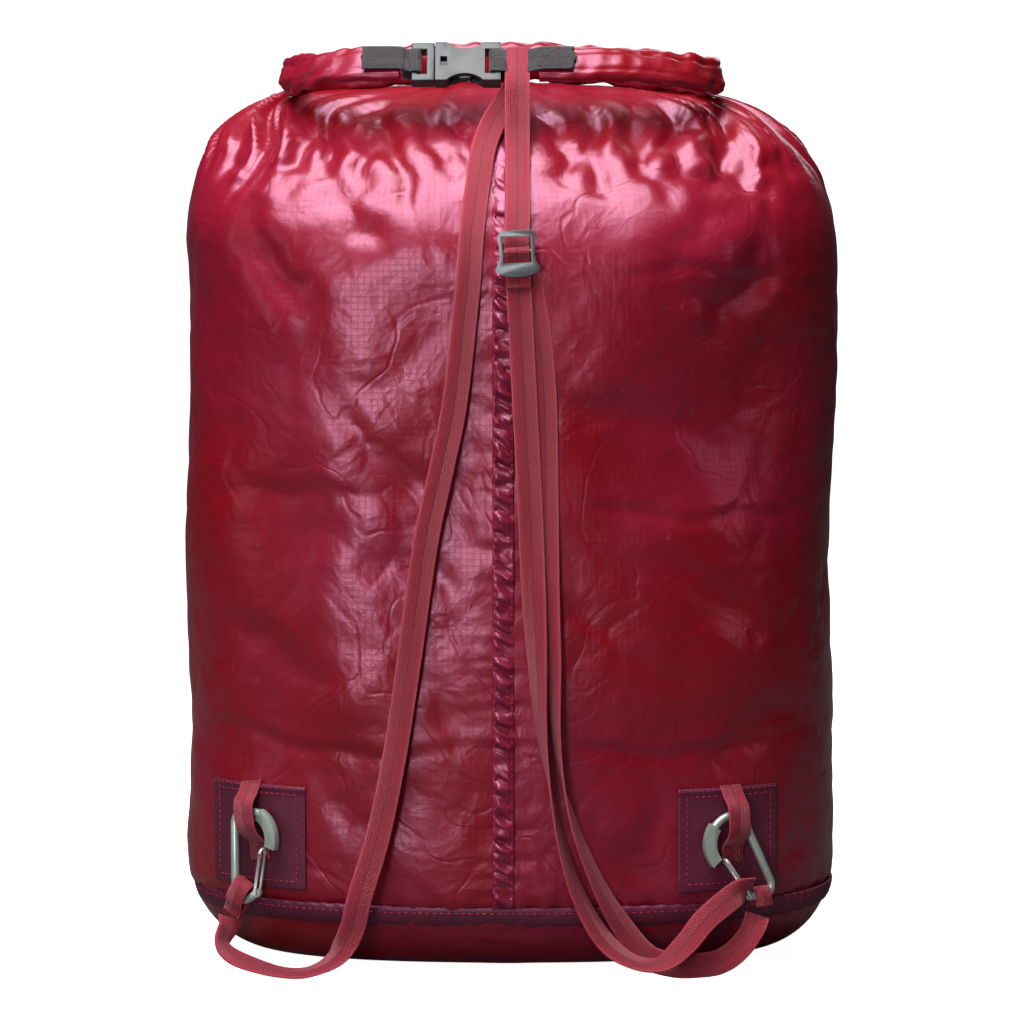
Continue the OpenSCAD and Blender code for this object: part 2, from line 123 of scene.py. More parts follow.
class MetalProps(bpy.types.PropertyGroup):
    """Colours of the hardware"""
    carabiner: bpy.props.FloatVectorProperty(
        name="Carabiner", description="Anodised bar", subtype="COLOR", default=(0.47, 0.56, 0.5))
    wire: bpy.props.FloatVectorProperty(
        name="Gate wire", description="Drawn wire", subtype="COLOR", default=(0.72, 0.71, 0.68))
    slider: bpy.props.FloatVectorProperty(
        name="Slider", description="Anodised frame", subtype="COLOR", default=(0.13, 0.145, 0.155))
    buckle: bpy.props.FloatVectorProperty(
        name="Buckle", description="Moulded plastic", subtype="COLOR", default=(0.018, 0.022, 0.026))


# ------------------------------------------------------------------ the sack's shape, as in part.scad
SQUARENESS = 2.4
BASE_W, BASE_D = 124 * MM, 52 * MM
FULL_W, FULL_D = 168 * MM, 100 * MM
NECK_W, NECK_D = 104 * MM, 5.2 * MM
NECK_X, NECK_Y, NECK_ARCH = -6 * MM, 14 * MM, 7.5 * MM
BASE_ROUND, SEAM_Z = 48 * MM, 34 * MM
SHOULDER_W_Z, SHOULDER_D_Z, NECK_Z = 365 * MM, 350 * MM, 441 * MM


def rounded(turn, squareness):
    """Cosine and sine of a rounded rectangle: 2 is an ellipse, more is squarer."""
    c, s = np.cos(turn), np.sin(turn)
    return np.sign(c) * np.abs(c) ** (2 / squareness), np.sign(s) * np.abs(s) ** (2 / squareness)


def quarter(t):
    """Height of a quarter circle, from 0 to 1."""
    return np.sqrt(np.clip(1 - (1 - np.clip(t, 0, 1)) ** 2, 0, 1))


def rise(z, start):
    """How far a height is from start towards the neck, from 0 to 1."""
    return np.clip((z - start) / (NECK_Z - start), 0, 1)


def half_w(z):
    low = BASE_W + (FULL_W - BASE_W) * quarter(z / BASE_ROUND)
    high = NECK_W + (FULL_W - NECK_W) * np.sqrt(np.clip(1 - rise(z, SHOULDER_W_Z) ** 2, 0, 1))
    return np.where(z < SHOULDER_W_Z, low, high)


def half_d(z):
    low = BASE_D + (FULL_D - BASE_D) * quarter(z / BASE_ROUND)
    high = NECK_D + (FULL_D - NECK_D) * np.sqrt(np.clip(1 - rise(z, SHOULDER_D_Z) ** 2, 0, 1))
    return np.where(z < SHOULDER_D_Z, low, high)


def mid_x(z):
    return NECK_X * rise(z, SHOULDER_D_Z) ** 2


def mid_y(z):
    return NECK_Y * rise(z, SHOULDER_D_Z) ** 2


def arch(x, z):
    return NECK_ARCH * np.clip(1 - ((x - mid_x(z)) / half_w(z)) ** 2, 0, 1) * rise(z, SHOULDER_W_Z) ** 3


def front_y(x, z, out=0.0):
    share = 1 - (np.abs(x - mid_x(z)) / (half_w(z) + out)) ** SQUARENESS
    return mid_y(z) - (half_d(z) + out) * np.clip(share, 0, 1) ** (1 / SQUARENESS)


def cloth_y(x, z):
    """The cloth's y on the strap side at one point."""
    return float(front_y(np.float64(x), np.float64(z)))


# ------------------------------------------------------------------ small tools


def clear_selection():
    if bpy.context.mode != "OBJECT":
        bpy.ops.object.mode_set(mode="OBJECT")
    bpy.ops.object.select_all(action="DESELECT")


def mesh_piece(name, verts, faces, material, uvs=None, smooth=True):
    """A soft piece from its points; uvs holds one pair for each corner of each face."""
    mesh = bpy.data.meshes.new(name)
    mesh.from_pydata([tuple(v) for v in verts], [], faces)
    mesh.materials.append(material)
    if uvs is not None:
        layer = mesh.uv_layers.new(name="UVMap")
        layer.data.foreach_set("uv", np.asarray(uvs, dtype=np.float32).ravel())
    mesh.polygons.foreach_set("use_smooth", [smooth] * len(mesh.polygons))
    mesh.validate()
    mesh.update()
    piece = bpy.data.objects.new(name, mesh)
    bpy.context.collection.objects.link(piece)
    return piece


def grid_faces(rows, cols, wrap):
    across = cols if wrap else cols - 1
    faces = []
    for r in range(rows - 1):
        for c in range(across):
            d = (c + 1) % cols
            faces.append((r * cols + c, r * cols + d, (r + 1) * cols + d, (r + 1) * cols + c))
    return faces


def finish(piece, body, replaces=()):
    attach(piece, body)
    if replaces:
        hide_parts(*replaces)
    return piece


def active(piece):
    clear_selection()
    piece.select_set(True)
    bpy.context.view_layer.objects.active = piece


def apply_modifier(piece, kind, **values):
    active(piece)
    modifier = piece.modifiers.new(kind.title(), kind)
    for key, value in values.items():
        setattr(modifier, key, value)
    bpy.ops.object.modifier_apply(modifier=modifier.name)


def apply_place(piece):
    active(piece)
    bpy.ops.object.transform_apply(location=True, rotation=True, scale=True)


def face_outwards(piece):
    active(piece)
    bpy.ops.object.mode_set(mode="EDIT")
    bpy.ops.mesh.select_all(action="SELECT")
    bpy.ops.mesh.normals_make_consistent(inside=False)
    bpy.ops.object.mode_set(mode="OBJECT")


def unit(rows):
    """Rows of vectors, each made one long."""
    return rows / np.linalg.norm(rows, axis=-1)[..., None]


def travel(at, start=0.0):
    """Length along a row of points, up to each of them."""
    return start + np.concatenate([[0], np.cumsum(np.linalg.norm(np.diff(at, axis=0), axis=1))])


def flat_uvs(verts, faces, up):
    """Map coordinates from x and one other axis of each face's corners."""
    return [(verts[i][0], verts[i][up]) for face in faces for i in face]


# ------------------------------------------------------------------ material helpers


def new_group(name, inputs, outputs):
    """An empty node group with named sockets; returns the group, its input node and output node."""
    group = bpy.data.node_groups.new(name, "ShaderNodeTree")
    for label, kind, value in inputs:
        socket = group.interface.new_socket(label, in_out="INPUT", socket_type=kind)
        if value is not None:
            socket.default_value = value
    for label, kind in outputs:
        group.interface.new_socket(label, in_out="OUTPUT", socket_type=kind)
    return group, group.nodes.new("NodeGroupInput"), group.nodes.new("NodeGroupOutput")


def math_node(tree, operation, a, b=None, clamp=False):
    node = tree.nodes.new("ShaderNodeMath")
    node.operation = operation
    node.use_clamp = clamp
    for socket, value in zip(node.inputs, (a, b)):
        if value is None:
            continue
        if isinstance(value, (int, float)):
            socket.default_value = value
        else:
            tree.links.new(value, socket)
    return node.outputs[0]


def mix_color(tree, factor, a, b, blend="MIX"):
    node = tree.nodes.new("ShaderNodeMix")
    node.data_type = "RGBA"
    node.blend_type = blend
    for socket, value in ((node.inputs["Factor"], factor), (node.inputs[6], a), (node.inputs[7], b)):
        if isinstance(value, (int, float)):
            socket.default_value = value
        elif isinstance(value, (tuple, list)):
            socket.default_value = (*value[:3], 1)
        else:
            tree.links.new(value, socket)
    return node.outputs[2]


def ramp(tree, value, low, high, out_low=0.0, out_high=1.0):
    node = tree.nodes.new("ShaderNodeMapRange")
    node.interpolation_type = "SMOOTHSTEP"
    for label, number in (("From Min", low), ("From Max", high), ("To Min", out_low), ("To Max", out_high)):
        node.inputs[label].default_value = number
    tree.links.new(value, node.inputs["Value"])
    return node.outputs["Result"]


def noise_tex(tree, vector, scale, detail=3.0, roughness=0.5, distortion=0.0):
    node = tree.nodes.new("ShaderNodeTexNoise")
    node.inputs["Scale"].default_value = scale
    node.inputs["Detail"].default_value = detail
    node.inputs["Roughness"].default_value = roughness
    node.inputs["Distortion"].default_value = distortion
    tree.links.new(vector, node.inputs["Vector"])
    return node.outputs["Fac"]


def weave_group():
    """Plain weave with a thicker ripstop thread at every few picks, in metres of cloth."""
    if "Ripstop weave" in bpy.data.node_groups:
        return bpy.data.node_groups["Ripstop weave"]
    group, gin, gout = new_group(
        "Ripstop weave",
        [("Vector", "NodeSocketVector", None), ("Thread", "NodeSocketFloat", 0.0005),
         ("Rip pitch", "NodeSocketFloat", 0.0032), ("Rip width", "NodeSocketFloat", 0.12)],
        [("Height", "NodeSocketFloat"), ("Grid", "NodeSocketFloat")])
    split = group.nodes.new("ShaderNodeSeparateXYZ")
    group.links.new(gin.outputs["Vector"], split.inputs[0])
    waves, lines = [], []
    for axis in (0, 1):
        turns = math_node(group, "DIVIDE", split.outputs[axis], gin.outputs["Thread"])
        waves.append(math_node(group, "SINE", math_node(group, "MULTIPLY", turns, math.pi)))
        cell = math_node(group, "DIVIDE", split.outputs[axis], gin.outputs["Rip pitch"])
        near = math_node(group, "ABSOLUTE", math_node(
            group, "SUBTRACT", math_node(group, "FRACT", cell), 0.5))
        lines.append(math_node(group, "LESS_THAN", near, math_node(
            group, "MULTIPLY", gin.outputs["Rip width"], 0.5)))
    grid = math_node(group, "MAXIMUM", lines[0], lines[1])
    over = math_node(group, "MULTIPLY", waves[0], waves[1])
    height = math_node(group, "ADD", math_node(group, "MULTIPLY", over, 0.35), grid)
    group.links.new(height, gout.inputs["Height"])
    group.links.new(grid, gout.inputs["Grid"])
    return group


def webbing_group():
    """Flat-woven tape: herringbone ribs, a centre line and raised selvedges, from a UV in metres."""
    if "Tape weave" in bpy.data.node_groups:
        return bpy.data.node_groups["Tape weave"]
    group, gin, gout = new_group(
        "Tape weave",
        [("Vector", "NodeSocketVector", None), ("Width", "NodeSocketFloat", 0.0127),
         ("Rib", "NodeSocketFloat", 0.0011)],
        [("Height", "NodeSocketFloat"), ("Line", "NodeSocketFloat"), ("Edge", "NodeSocketFloat")])
    split = group.nodes.new("ShaderNodeSeparateXYZ")
    group.links.new(gin.outputs["Vector"], split.inputs[0])
    across = math_node(group, "DIVIDE", split.outputs[0], gin.outputs["Width"])
    side = math_node(group, "ABSOLUTE", across)
    slant = math_node(group, "ADD", split.outputs[1], math_node(group, "MULTIPLY", math_node(
        group, "ABSOLUTE", split.outputs[0]), 1.1))
    rib = math_node(group, "SINE", math_node(group, "MULTIPLY", math_node(
        group, "DIVIDE", slant, gin.outputs["Rib"]), 2 * math.pi))
    warp = math_node(group, "SINE", math_node(group, "MULTIPLY", across, 2 * math.pi * 14))
    edge = math_node(group, "GREATER_THAN", side, 0.4)
    line = math_node(group, "LESS_THAN", side, 0.035)
    height = math_node(group, "ADD", math_node(group, "MULTIPLY", rib, 0.5), math_node(
        group, "MULTIPLY", warp, 0.25))
    height = math_node(group, "ADD", height, math_node(group, "MULTIPLY", edge, 0.5))
    height = math_node(group, "SUBTRACT", height, line)
    group.links.new(height, gout.inputs["Height"])
    group.links.new(line, gout.inputs["Line"])
    group.links.new(edge, gout.inputs["Edge"])
    return group


def wear_group():
    """Handling marks: a soft mottled tone, fine grain and sparse pale scuffs."""
    if "Handling wear" in bpy.data.node_groups:
        return bpy.data.node_groups["Handling wear"]
    group, gin, gout = new_group(
        "Handling wear",
        [("Vector", "NodeSocketVector", None), ("Size", "NodeSocketFloat", 1.0)],
        [("Mottle", "NodeSocketFloat"), ("Grain", "NodeSocketFloat"), ("Scuff", "NodeSocketFloat")])
    scaled = group.nodes.new("ShaderNodeVectorMath")
    scaled.operation = "SCALE"
    group.links.new(gin.outputs["Vector"], scaled.inputs[0])
    group.links.new(gin.outputs["Size"], scaled.inputs["Scale"])
    vector = scaled.outputs[0]
    group.links.new(noise_tex(group, vector, 14, 3), gout.inputs["Mottle"])
    group.links.new(noise_tex(group, vector, 900, 2), gout.inputs["Grain"])
    group.links.new(ramp(group, noise_tex(group, vector, 120, 6, 0.7), 0.62, 0.72), gout.inputs["Scuff"])
    return group


def use_group(tree, group, vector, **values):
    node = tree.nodes.new("ShaderNodeGroup")
    node.node_tree = group
    tree.links.new(vector, node.inputs["Vector"])
    for key, value in values.items():
        node.inputs[key.replace("_", " ")].default_value = value
    return node


def start_material(name):
    material = bpy.data.materials.new(name)
    material.use_nodes = True
    tree = material.node_tree
    shader = tree.nodes["Principled BSDF"]
    coords = tree.nodes.new("ShaderNodeTexCoord")
    return material, tree, shader, coords


def bump(tree, height, shader, distance, strength=1.0, previous=None):
    node = tree.nodes.new("ShaderNodeBump")
    node.inputs["Distance"].default_value = distance
    node.inputs["Strength"].default_value = strength
    tree.links.new(height, node.inputs["Height"])
    if previous is not None:
        tree.links.new(previous, node.inputs["Normal"])
    if shader is not None:
        tree.links.new(node.outputs[0], shader.inputs["Normal"])
    return node.outputs[0]


def made_once(build):
    """Give back a material that is already there by that name, or build it."""
    def look_up(name, *values):
        return bpy.data.materials.get(name) or build(name, *values)
    return look_up


def shade(color, share):
    return [c * share for c in color]


def link_grain(tree, shader, wear, roughness, amount):
    """Roughness that the grain varies by amount round its middle value."""
    grain = math_node(tree, "MULTIPLY", wear.outputs["Grain"], amount)
    tree.links.new(math_node(tree, "ADD", grain, roughness - amount / 2), shader.inputs["Roughness"])


def set_sheen(shader, weight, roughness, tint):
    shader.inputs["Sheen Weight"].default_value = weight
    shader.inputs["Sheen Roughness"].default_value = roughness
    shader.inputs["Sheen Tint"].default_value = (*tint, 1)


def swirled(tree, vector):
    """A vector pushed about by slow noise, so that what reads it bends."""
    swirl = tree.nodes.new("ShaderNodeTexNoise")
    swirl.inputs["Scale"].default_value = 12
    tree.links.new(vector, swirl.inputs["Vector"])
    shift = tree.nodes.new("ShaderNodeVectorMath")
    shift.operation = "SCALE"
    shift.inputs["Scale"].default_value = 0.05
    tree.links.new(swirl.outputs["Color"], shift.inputs[0])
    warp = tree.nodes.new("ShaderNodeVectorMath")
    warp.operation = "ADD"
    tree.links.new(vector, warp.inputs[0])
    tree.links.new(shift.outputs[0], warp.inputs[1])
    return warp.outputs[0]


@made_once
def ripstop(name, deep, pale, roughness=0.30, crinkle=1.0):
    """Coated ripstop: a deep tone with paler pinkish patches at random as a painted sheen, a faint thread grid,
    fine crinkles and a silky gloss.
    """
    material, tree, shader, coords = start_material(name)
    place = coords.outputs["Object"]
    weave = use_group(tree, weave_group(), coords.outputs["UV"])
    wear = use_group(tree, wear_group(), place)
    # paler pinkish patches at random places: a painted sheen laid into the base colour
    tone = noise_tex(tree, place, 9, 2, 0.45, 0.4)
    base = mix_color(tree, ramp(tree, tone, 0.36, 0.66), deep, pale)
    base = mix_color(tree, math_node(tree, "MULTIPLY", weave.outputs["Grid"], 0.3), base, shade(deep, 0.55))
    base = mix_color(tree, math_node(tree, "MULTIPLY", wear.outputs["Scuff"], 0.12), base, (0.5, 0.16, 0.22))
    tree.links.new(base, shader.inputs["Base Color"])
    rough = math_node(tree, "ADD", math_node(tree, "MULTIPLY", wear.outputs["Mottle"], 0.18), roughness - 0.09)
    tree.links.new(math_node(tree, "ADD", rough, math_node(
        tree, "MULTIPLY", weave.outputs["Grid"], 0.08)), shader.inputs["Roughness"])
    bent = swirled(tree, place)
    cells = tree.nodes.new("ShaderNodeTexVoronoi")
    cells.feature = "F2"
    cells.inputs["Scale"].default_value = 34
    cells.inputs["Detail"].default_value = 2
    tree.links.new(bent, cells.inputs["Vector"])
    normal = bump(tree, cells.outputs["Distance"], None, 0.003 * crinkle, 0.25)
    for scale, distortion, depth in ((6, 0.6, 0.0006), (15, 0.5, 0.0004)):
        line = math_node(tree, "ABSOLUTE", math_node(
            tree, "SUBTRACT", noise_tex(tree, bent, scale, 2, 0.5, distortion), 0.5))
        normal = bump(tree, ramp(tree, line, 0.0, 0.02), None, depth * crinkle, 0.3, normal)
    normal = bump(tree, noise_tex(tree, place, 160, 4, 0.6, 0.8), None, 0.00012 * crinkle, 0.5, normal)
    bump(tree, weave.outputs["Height"], shader, 0.000015, 0.5, normal)
    shader.inputs["Specular IOR Level"].default_value = 0.85
    shader.inputs["Specular Tint"].default_value = (1.0, 0.5, 0.76, 1)
    set_sheen(shader, 0.03, 0.35, (1.0, 0.45, 0.6))
    return material


@made_once
def tape(name, color, width=12.7 * MM, roughness=0.5):
    """Woven tape with ribs, a centre line, selvedges lightened as a painted highlight and weave grooves darkened as
    painted shade.
    """
    material, tree, shader, coords = start_material(name)
    weave = use_group(tree, webbing_group(), coords.outputs["UV"], Width=width)
    wear = use_group(tree, wear_group(), coords.outputs["Object"], Size=2.0)
    base = mix_color(tree, wear.outputs["Mottle"], shade(color, 0.75), shade(color, 1.25))
    base = mix_color(tree, math_node(tree, "MULTIPLY", weave.outputs["Line"], 0.6), base, shade(color, 0.4))
    # lighter selvedges: a painted highlight along the tape's raised edges
    base = mix_color(tree, math_node(tree, "MULTIPLY", weave.outputs["Edge"], 0.45), base,
                     [c * 1.5 + 0.02 for c in color])
    # darker where the weave is low: painted shade in the grooves between the ribs
    base = mix_color(tree, ramp(tree, weave.outputs["Height"], -0.6, 0.6, 0.4, 0.0), base, shade(color, 0.35))
    tree.links.new(base, shader.inputs["Base Color"])
    link_grain(tree, shader, wear, roughness, 0.2)
    bump(tree, weave.outputs["Height"], shader, 0.00028, 1.0)
    set_sheen(shader, 0.3, 0.4, (1.0, 0.6, 0.7))
    return material


@made_once
def anodised(name, color, roughness):
    """Satin anodised metal with fine tumbling marks and rubbed high spots."""
    material, tree, shader, coords = start_material(name)
    wear = use_group(tree, wear_group(), coords.outputs["Object"], Size=4.0)
    base = mix_color(tree, wear.outputs["Mottle"], shade(color, 0.85), [min(1, c * 1.15) for c in color])
    base = mix_color(tree, math_node(tree, "MULTIPLY", wear.outputs["Scuff"], 0.3), base, (0.8, 0.8, 0.78))
    tree.links.new(base, shader.inputs["Base Color"])
    link_grain(tree, shader, wear, roughness, 0.16)
    shader.inputs["Metallic"].default_value = 0.6
    bump(tree, wear.outputs["Grain"], shader, 0.00003, 0.4)
    return material


@made_once
def moulded(name, color, roughness=0.42):
    """Moulded nylon with spark-eroded grain and paler rubbed spots."""
    material, tree, shader, coords = start_material(name)
    wear = use_group(tree, wear_group(), coords.outputs["Object"], Size=3.0)
    base = mix_color(tree, wear.outputs["Mottle"], shade(color, 0.8), shade(color, 1.3))
    base = mix_color(tree, math_node(tree, "MULTIPLY", wear.outputs["Scuff"], 0.25), base,
                     [c + 0.07 for c in color])
    tree.links.new(base, shader.inputs["Base Color"])
    link_grain(tree, shader, wear, roughness, 0.2)
    bump(tree, wear.outputs["Grain"], shader, 0.00005, 0.5)
    return material


@made_once
def thread(name, color, dark_share, roughness):
    """Twisted sewing thread, mottled along its length."""
    material, tree, shader, coords = start_material(name)
    wear = use_group(tree, wear_group(), coords.outputs["Object"], Size=6.0)
    tree.links.new(mix_color(tree, wear.outputs["Mottle"], shade(color, dark_share), color),
                   shader.inputs["Base Color"])
    shader.inputs["Roughness"].default_value = roughness
    bump(tree, wear.outputs["Grain"], shader, 0.00005, 0.6)
    return material


def fabric_color(name):
    return list(getattr(bpy.context.scene.sack_cloth, name))


def cloth_material():
    return ripstop("Crimson ripstop", fabric_color("cloth"), fabric_color("cloth_painted_sheen"))


def rolled_cloth_material():
    return ripstop("Rolled ripstop", fabric_color("cloth"), fabric_color("cloth_painted_sheen"), 0.32, 0.7)


def seam_cloth_material():
    return ripstop("Seam cloth", [0.16, 0.005, 0.02], [0.24, 0.012, 0.045], 0.3, 0.3)


def dark_cloth_material():
    color = fabric_color("patch")
    return ripstop("Plum reinforcement", color, shade(color, 1.5), 0.5, 0.5)


def webbing_material():
    return tape("Crimson tape", fabric_color("webbing"))


def tab_material():
    return tape("Black tape", fabric_color("tab"), 15 * MM, 0.55)


def thread_material():
    return thread("Stitching thread", fabric_color("thread"), 0.7, 0.5)


def dark_thread_material():
    return thread("Dark thread", fabric_color("thread_dark"), 0.6, 0.6)


# ------------------------------------------------------------------ stitches


def stitch_rows(name, rows, body, length, pitch, thick, material=None, lift=0.25 * MM):
    """Sewn lines: each row is a list of (point, outward normal), with stitches lying along it."""
    clear_selection()
    bpy.ops.mesh.primitive_uv_sphere_add(segments=6, ring_count=4, radius=0.5, location=(0, 0, 0))
    seed = bpy.context.active_object
    points = np.array([v.co[:] for v in seed.data.vertices])
    faces = [tuple(p.vertices) for p in seed.data.polygons]
    bpy.data.meshes.remove(seed.data)
    verts, polys = [], []
    for row in rows:
        path = [Vector(p) for p, _ in row]
        normals = [Vector(n) for _, n in row]
        run = 0.0
        due = pitch / 2
        for i in range(len(path) - 1):
            step = (path[i + 1] - path[i]).length
            while step > 1e-9 and due < run + step:
                t = (due - run) / step
                at = path[i].lerp(path[i + 1], t)
                out = normals[i].lerp(normals[i + 1], t).normalized()
                along = (path[i + 1] - path[i]).normalized()
                side = out.cross(along).normalized()
                base = len(verts)
                centre = at + out * lift
                for q in points:
                    # z of the sphere runs along the stitch, so its poles are the needle holes
                    v = centre + along * (q[2] * length) + side * (q[0] * thick) + out * (q[1] * thick * 0.7)
                    verts.append(v[:])
                polys.extend([tuple(base + k for k in f) for f in faces])
                due += pitch
            run += step
    piece = mesh_piece(name, verts, polys, material or thread_material())
    return finish(piece, body)


# ------------------------------------------------------------------ the filled sack


def smooth(x, low, high):
    t = np.clip((x - low) / (high - low), 0, 1)
    return t * t * (3 - 2 * t)


def noise_field(points, offset=(0, 0, 0)):
    shift = Vector(offset)
    return np.array([noise.noise(Vector(p) + shift) for p in points])


def ridge_field(points, offset=(0, 0, 0)):
    """Creases with sharp crests, between -0.5 and 0.5."""
    shift = Vector(offset)
    nearest = [noise.voronoi(Vector(p) + shift)[0] for p in points]
    return np.array([min(1.0, (d[1] - d[0]) * 1.2) for d in nearest]) - 0.5


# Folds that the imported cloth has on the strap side: start and end in x and z, width, depth and
# how far the fold leans over to one side; all in millimetres
FRONT_FOLDS = [
    (-112, 432, -141, 392, 6, 4.5, 0.6), (-104, 434, -120, 396, 5, 3.5, -0.5), (-92, 436, -98, 398, 6, 3.5, 0.4),
    (-118, 428, -152, 404, 5, 3.0, 0.5), (-78, 436, -72, 394, 6, 3.0, -0.4), (-62, 440, -52, 380, 5, 3.0, 0.5),
    (-44, 440, -34, 396, 5, 2.5, -0.5), (-30, 438, -24, 402, 4, 2.2, 0.4), (20, 440, 26, 396, 5, 2.4, 0.5),
    (36, 440, 52, 388, 6, 3.0, 0.4), (56, 438, 76, 384, 6, 3.5, -0.5), (74, 436, 98, 396, 6, 3.5, 0.5),
    (90, 434, 112, 400, 6, 4.0, 0.5), (100, 430, 128, 386, 5, 4.0, -0.6), (106, 426, 142, 402, 5, 3.0, 0.4),
    (-96, 400, -60, 372, 8, 2.2, 0.3), (-140, 392, -100, 340, 9, 2.6, 0.4), (-130, 372, -92, 306, 10, 2.0, -0.3),
    (112, 392, 70, 350, 9, 2.2, 0.3), (128, 380, 96, 318, 10, 2.4, -0.4), (140, 352, 78, 342, 8, 1.8, 0.4),
    (34, 356, 160, 352, 3, 0.8, 0.7), (18, 244, 152, 232, 3, 0.9, 0.7), (-150, 252, -60, 240, 4, 0.8, 0.4),
    (-152, 122, -16, 116, 3, 1.0, 0.8), (12, 120, 156, 118, 3, 1.0, 0.8), (-148, 180, -90, 150, 9, 1.8, 0.4),
    (-96, 284, -30, 250, 9, 1.6, 0.3), (26, 300, 108, 262, 9, 1.8, -0.3), (60, 214, 140, 176, 10, 1.8, 0.3),
    (22, 190, 70, 160, 8, 1.4, 0.4), (-80, 212, -24, 196, 8, 1.4, -0.4), (-60, 160, -20, 128, 8, 1.4, 0.3),
    (96, 112, 150, 136, 8, 1.8, 0.4), (-100, 104, -70, 66, 8, 1.4, 0.4), (78, 100, 58, 52, 8, 1.4, -0.4),
    (-156, 60, -120, 30, 7, 1.8, 0.5), (150, 64, 112, 32, 7, 1.8, 0.5), (30, 84, 78, 46, 8, 1.4, 0.3),
    (96, 398, 34, 300, 34, -5.0, 0.0), (34, 320, 18, 210, 26, -3.0, 0.0), (150, 330, 112, 250, 30, 3.0, 0.0),
    (-146, 400, -100, 318, 30, -4.5, 0.0), (-100, 330, -84, 200, 28, -3.5, 0.0),
    (-92, 220, -78, 120, 22, -2.5, 0.0),
]


def folds(x, z, table, mirror=1):
    """Depth of a set of folds at each x and z: a valley with a crest beside it."""
    total = np.zeros_like(x)
    for x0, z0, x1, z1, width, depth, lean in table:
        a = np.array([x0 * mirror, z0]) * MM
        b = np.array([x1 * mirror, z1]) * MM
        d = b - a
        length = float(np.hypot(*d))
        t = ((x - a[0]) * d[0] + (z - a[1]) * d[1]) / length ** 2
        wobble = 0.004 * np.sin(t * 5.2 + x0) + 0.0015 * np.sin(t * 17 + z0)
        off = ((x - a[0]) * -d[1] + (z - a[1]) * d[0]) / length + wobble
        r = off / (width * MM)
        taper = smooth(t, -0.12, 0.2) * (1 - smooth(t, 0.7, 1.15))
        total += depth * MM * taper * (-np.exp(-r * r) + lean * r * np.exp(-r * r * 0.5))
    return total


def sack_rows(count):
    """Heights of the mesh rows: the round base, the wall and the closing shoulders."""
    base = BASE_ROUND * (np.linspace(0, 1, int(count * 0.2), endpoint=False) ** 2)
    wall = np.linspace(BASE_ROUND, SHOULDER_D_Z, int(count * 0.48), endpoint=False)
    top = SHOULDER_D_Z + (NECK_Z - SHOULDER_D_Z) * np.sin(np.linspace(0, math.pi / 2, int(count * 0.32)))
    return np.concatenate([base, wall, top])


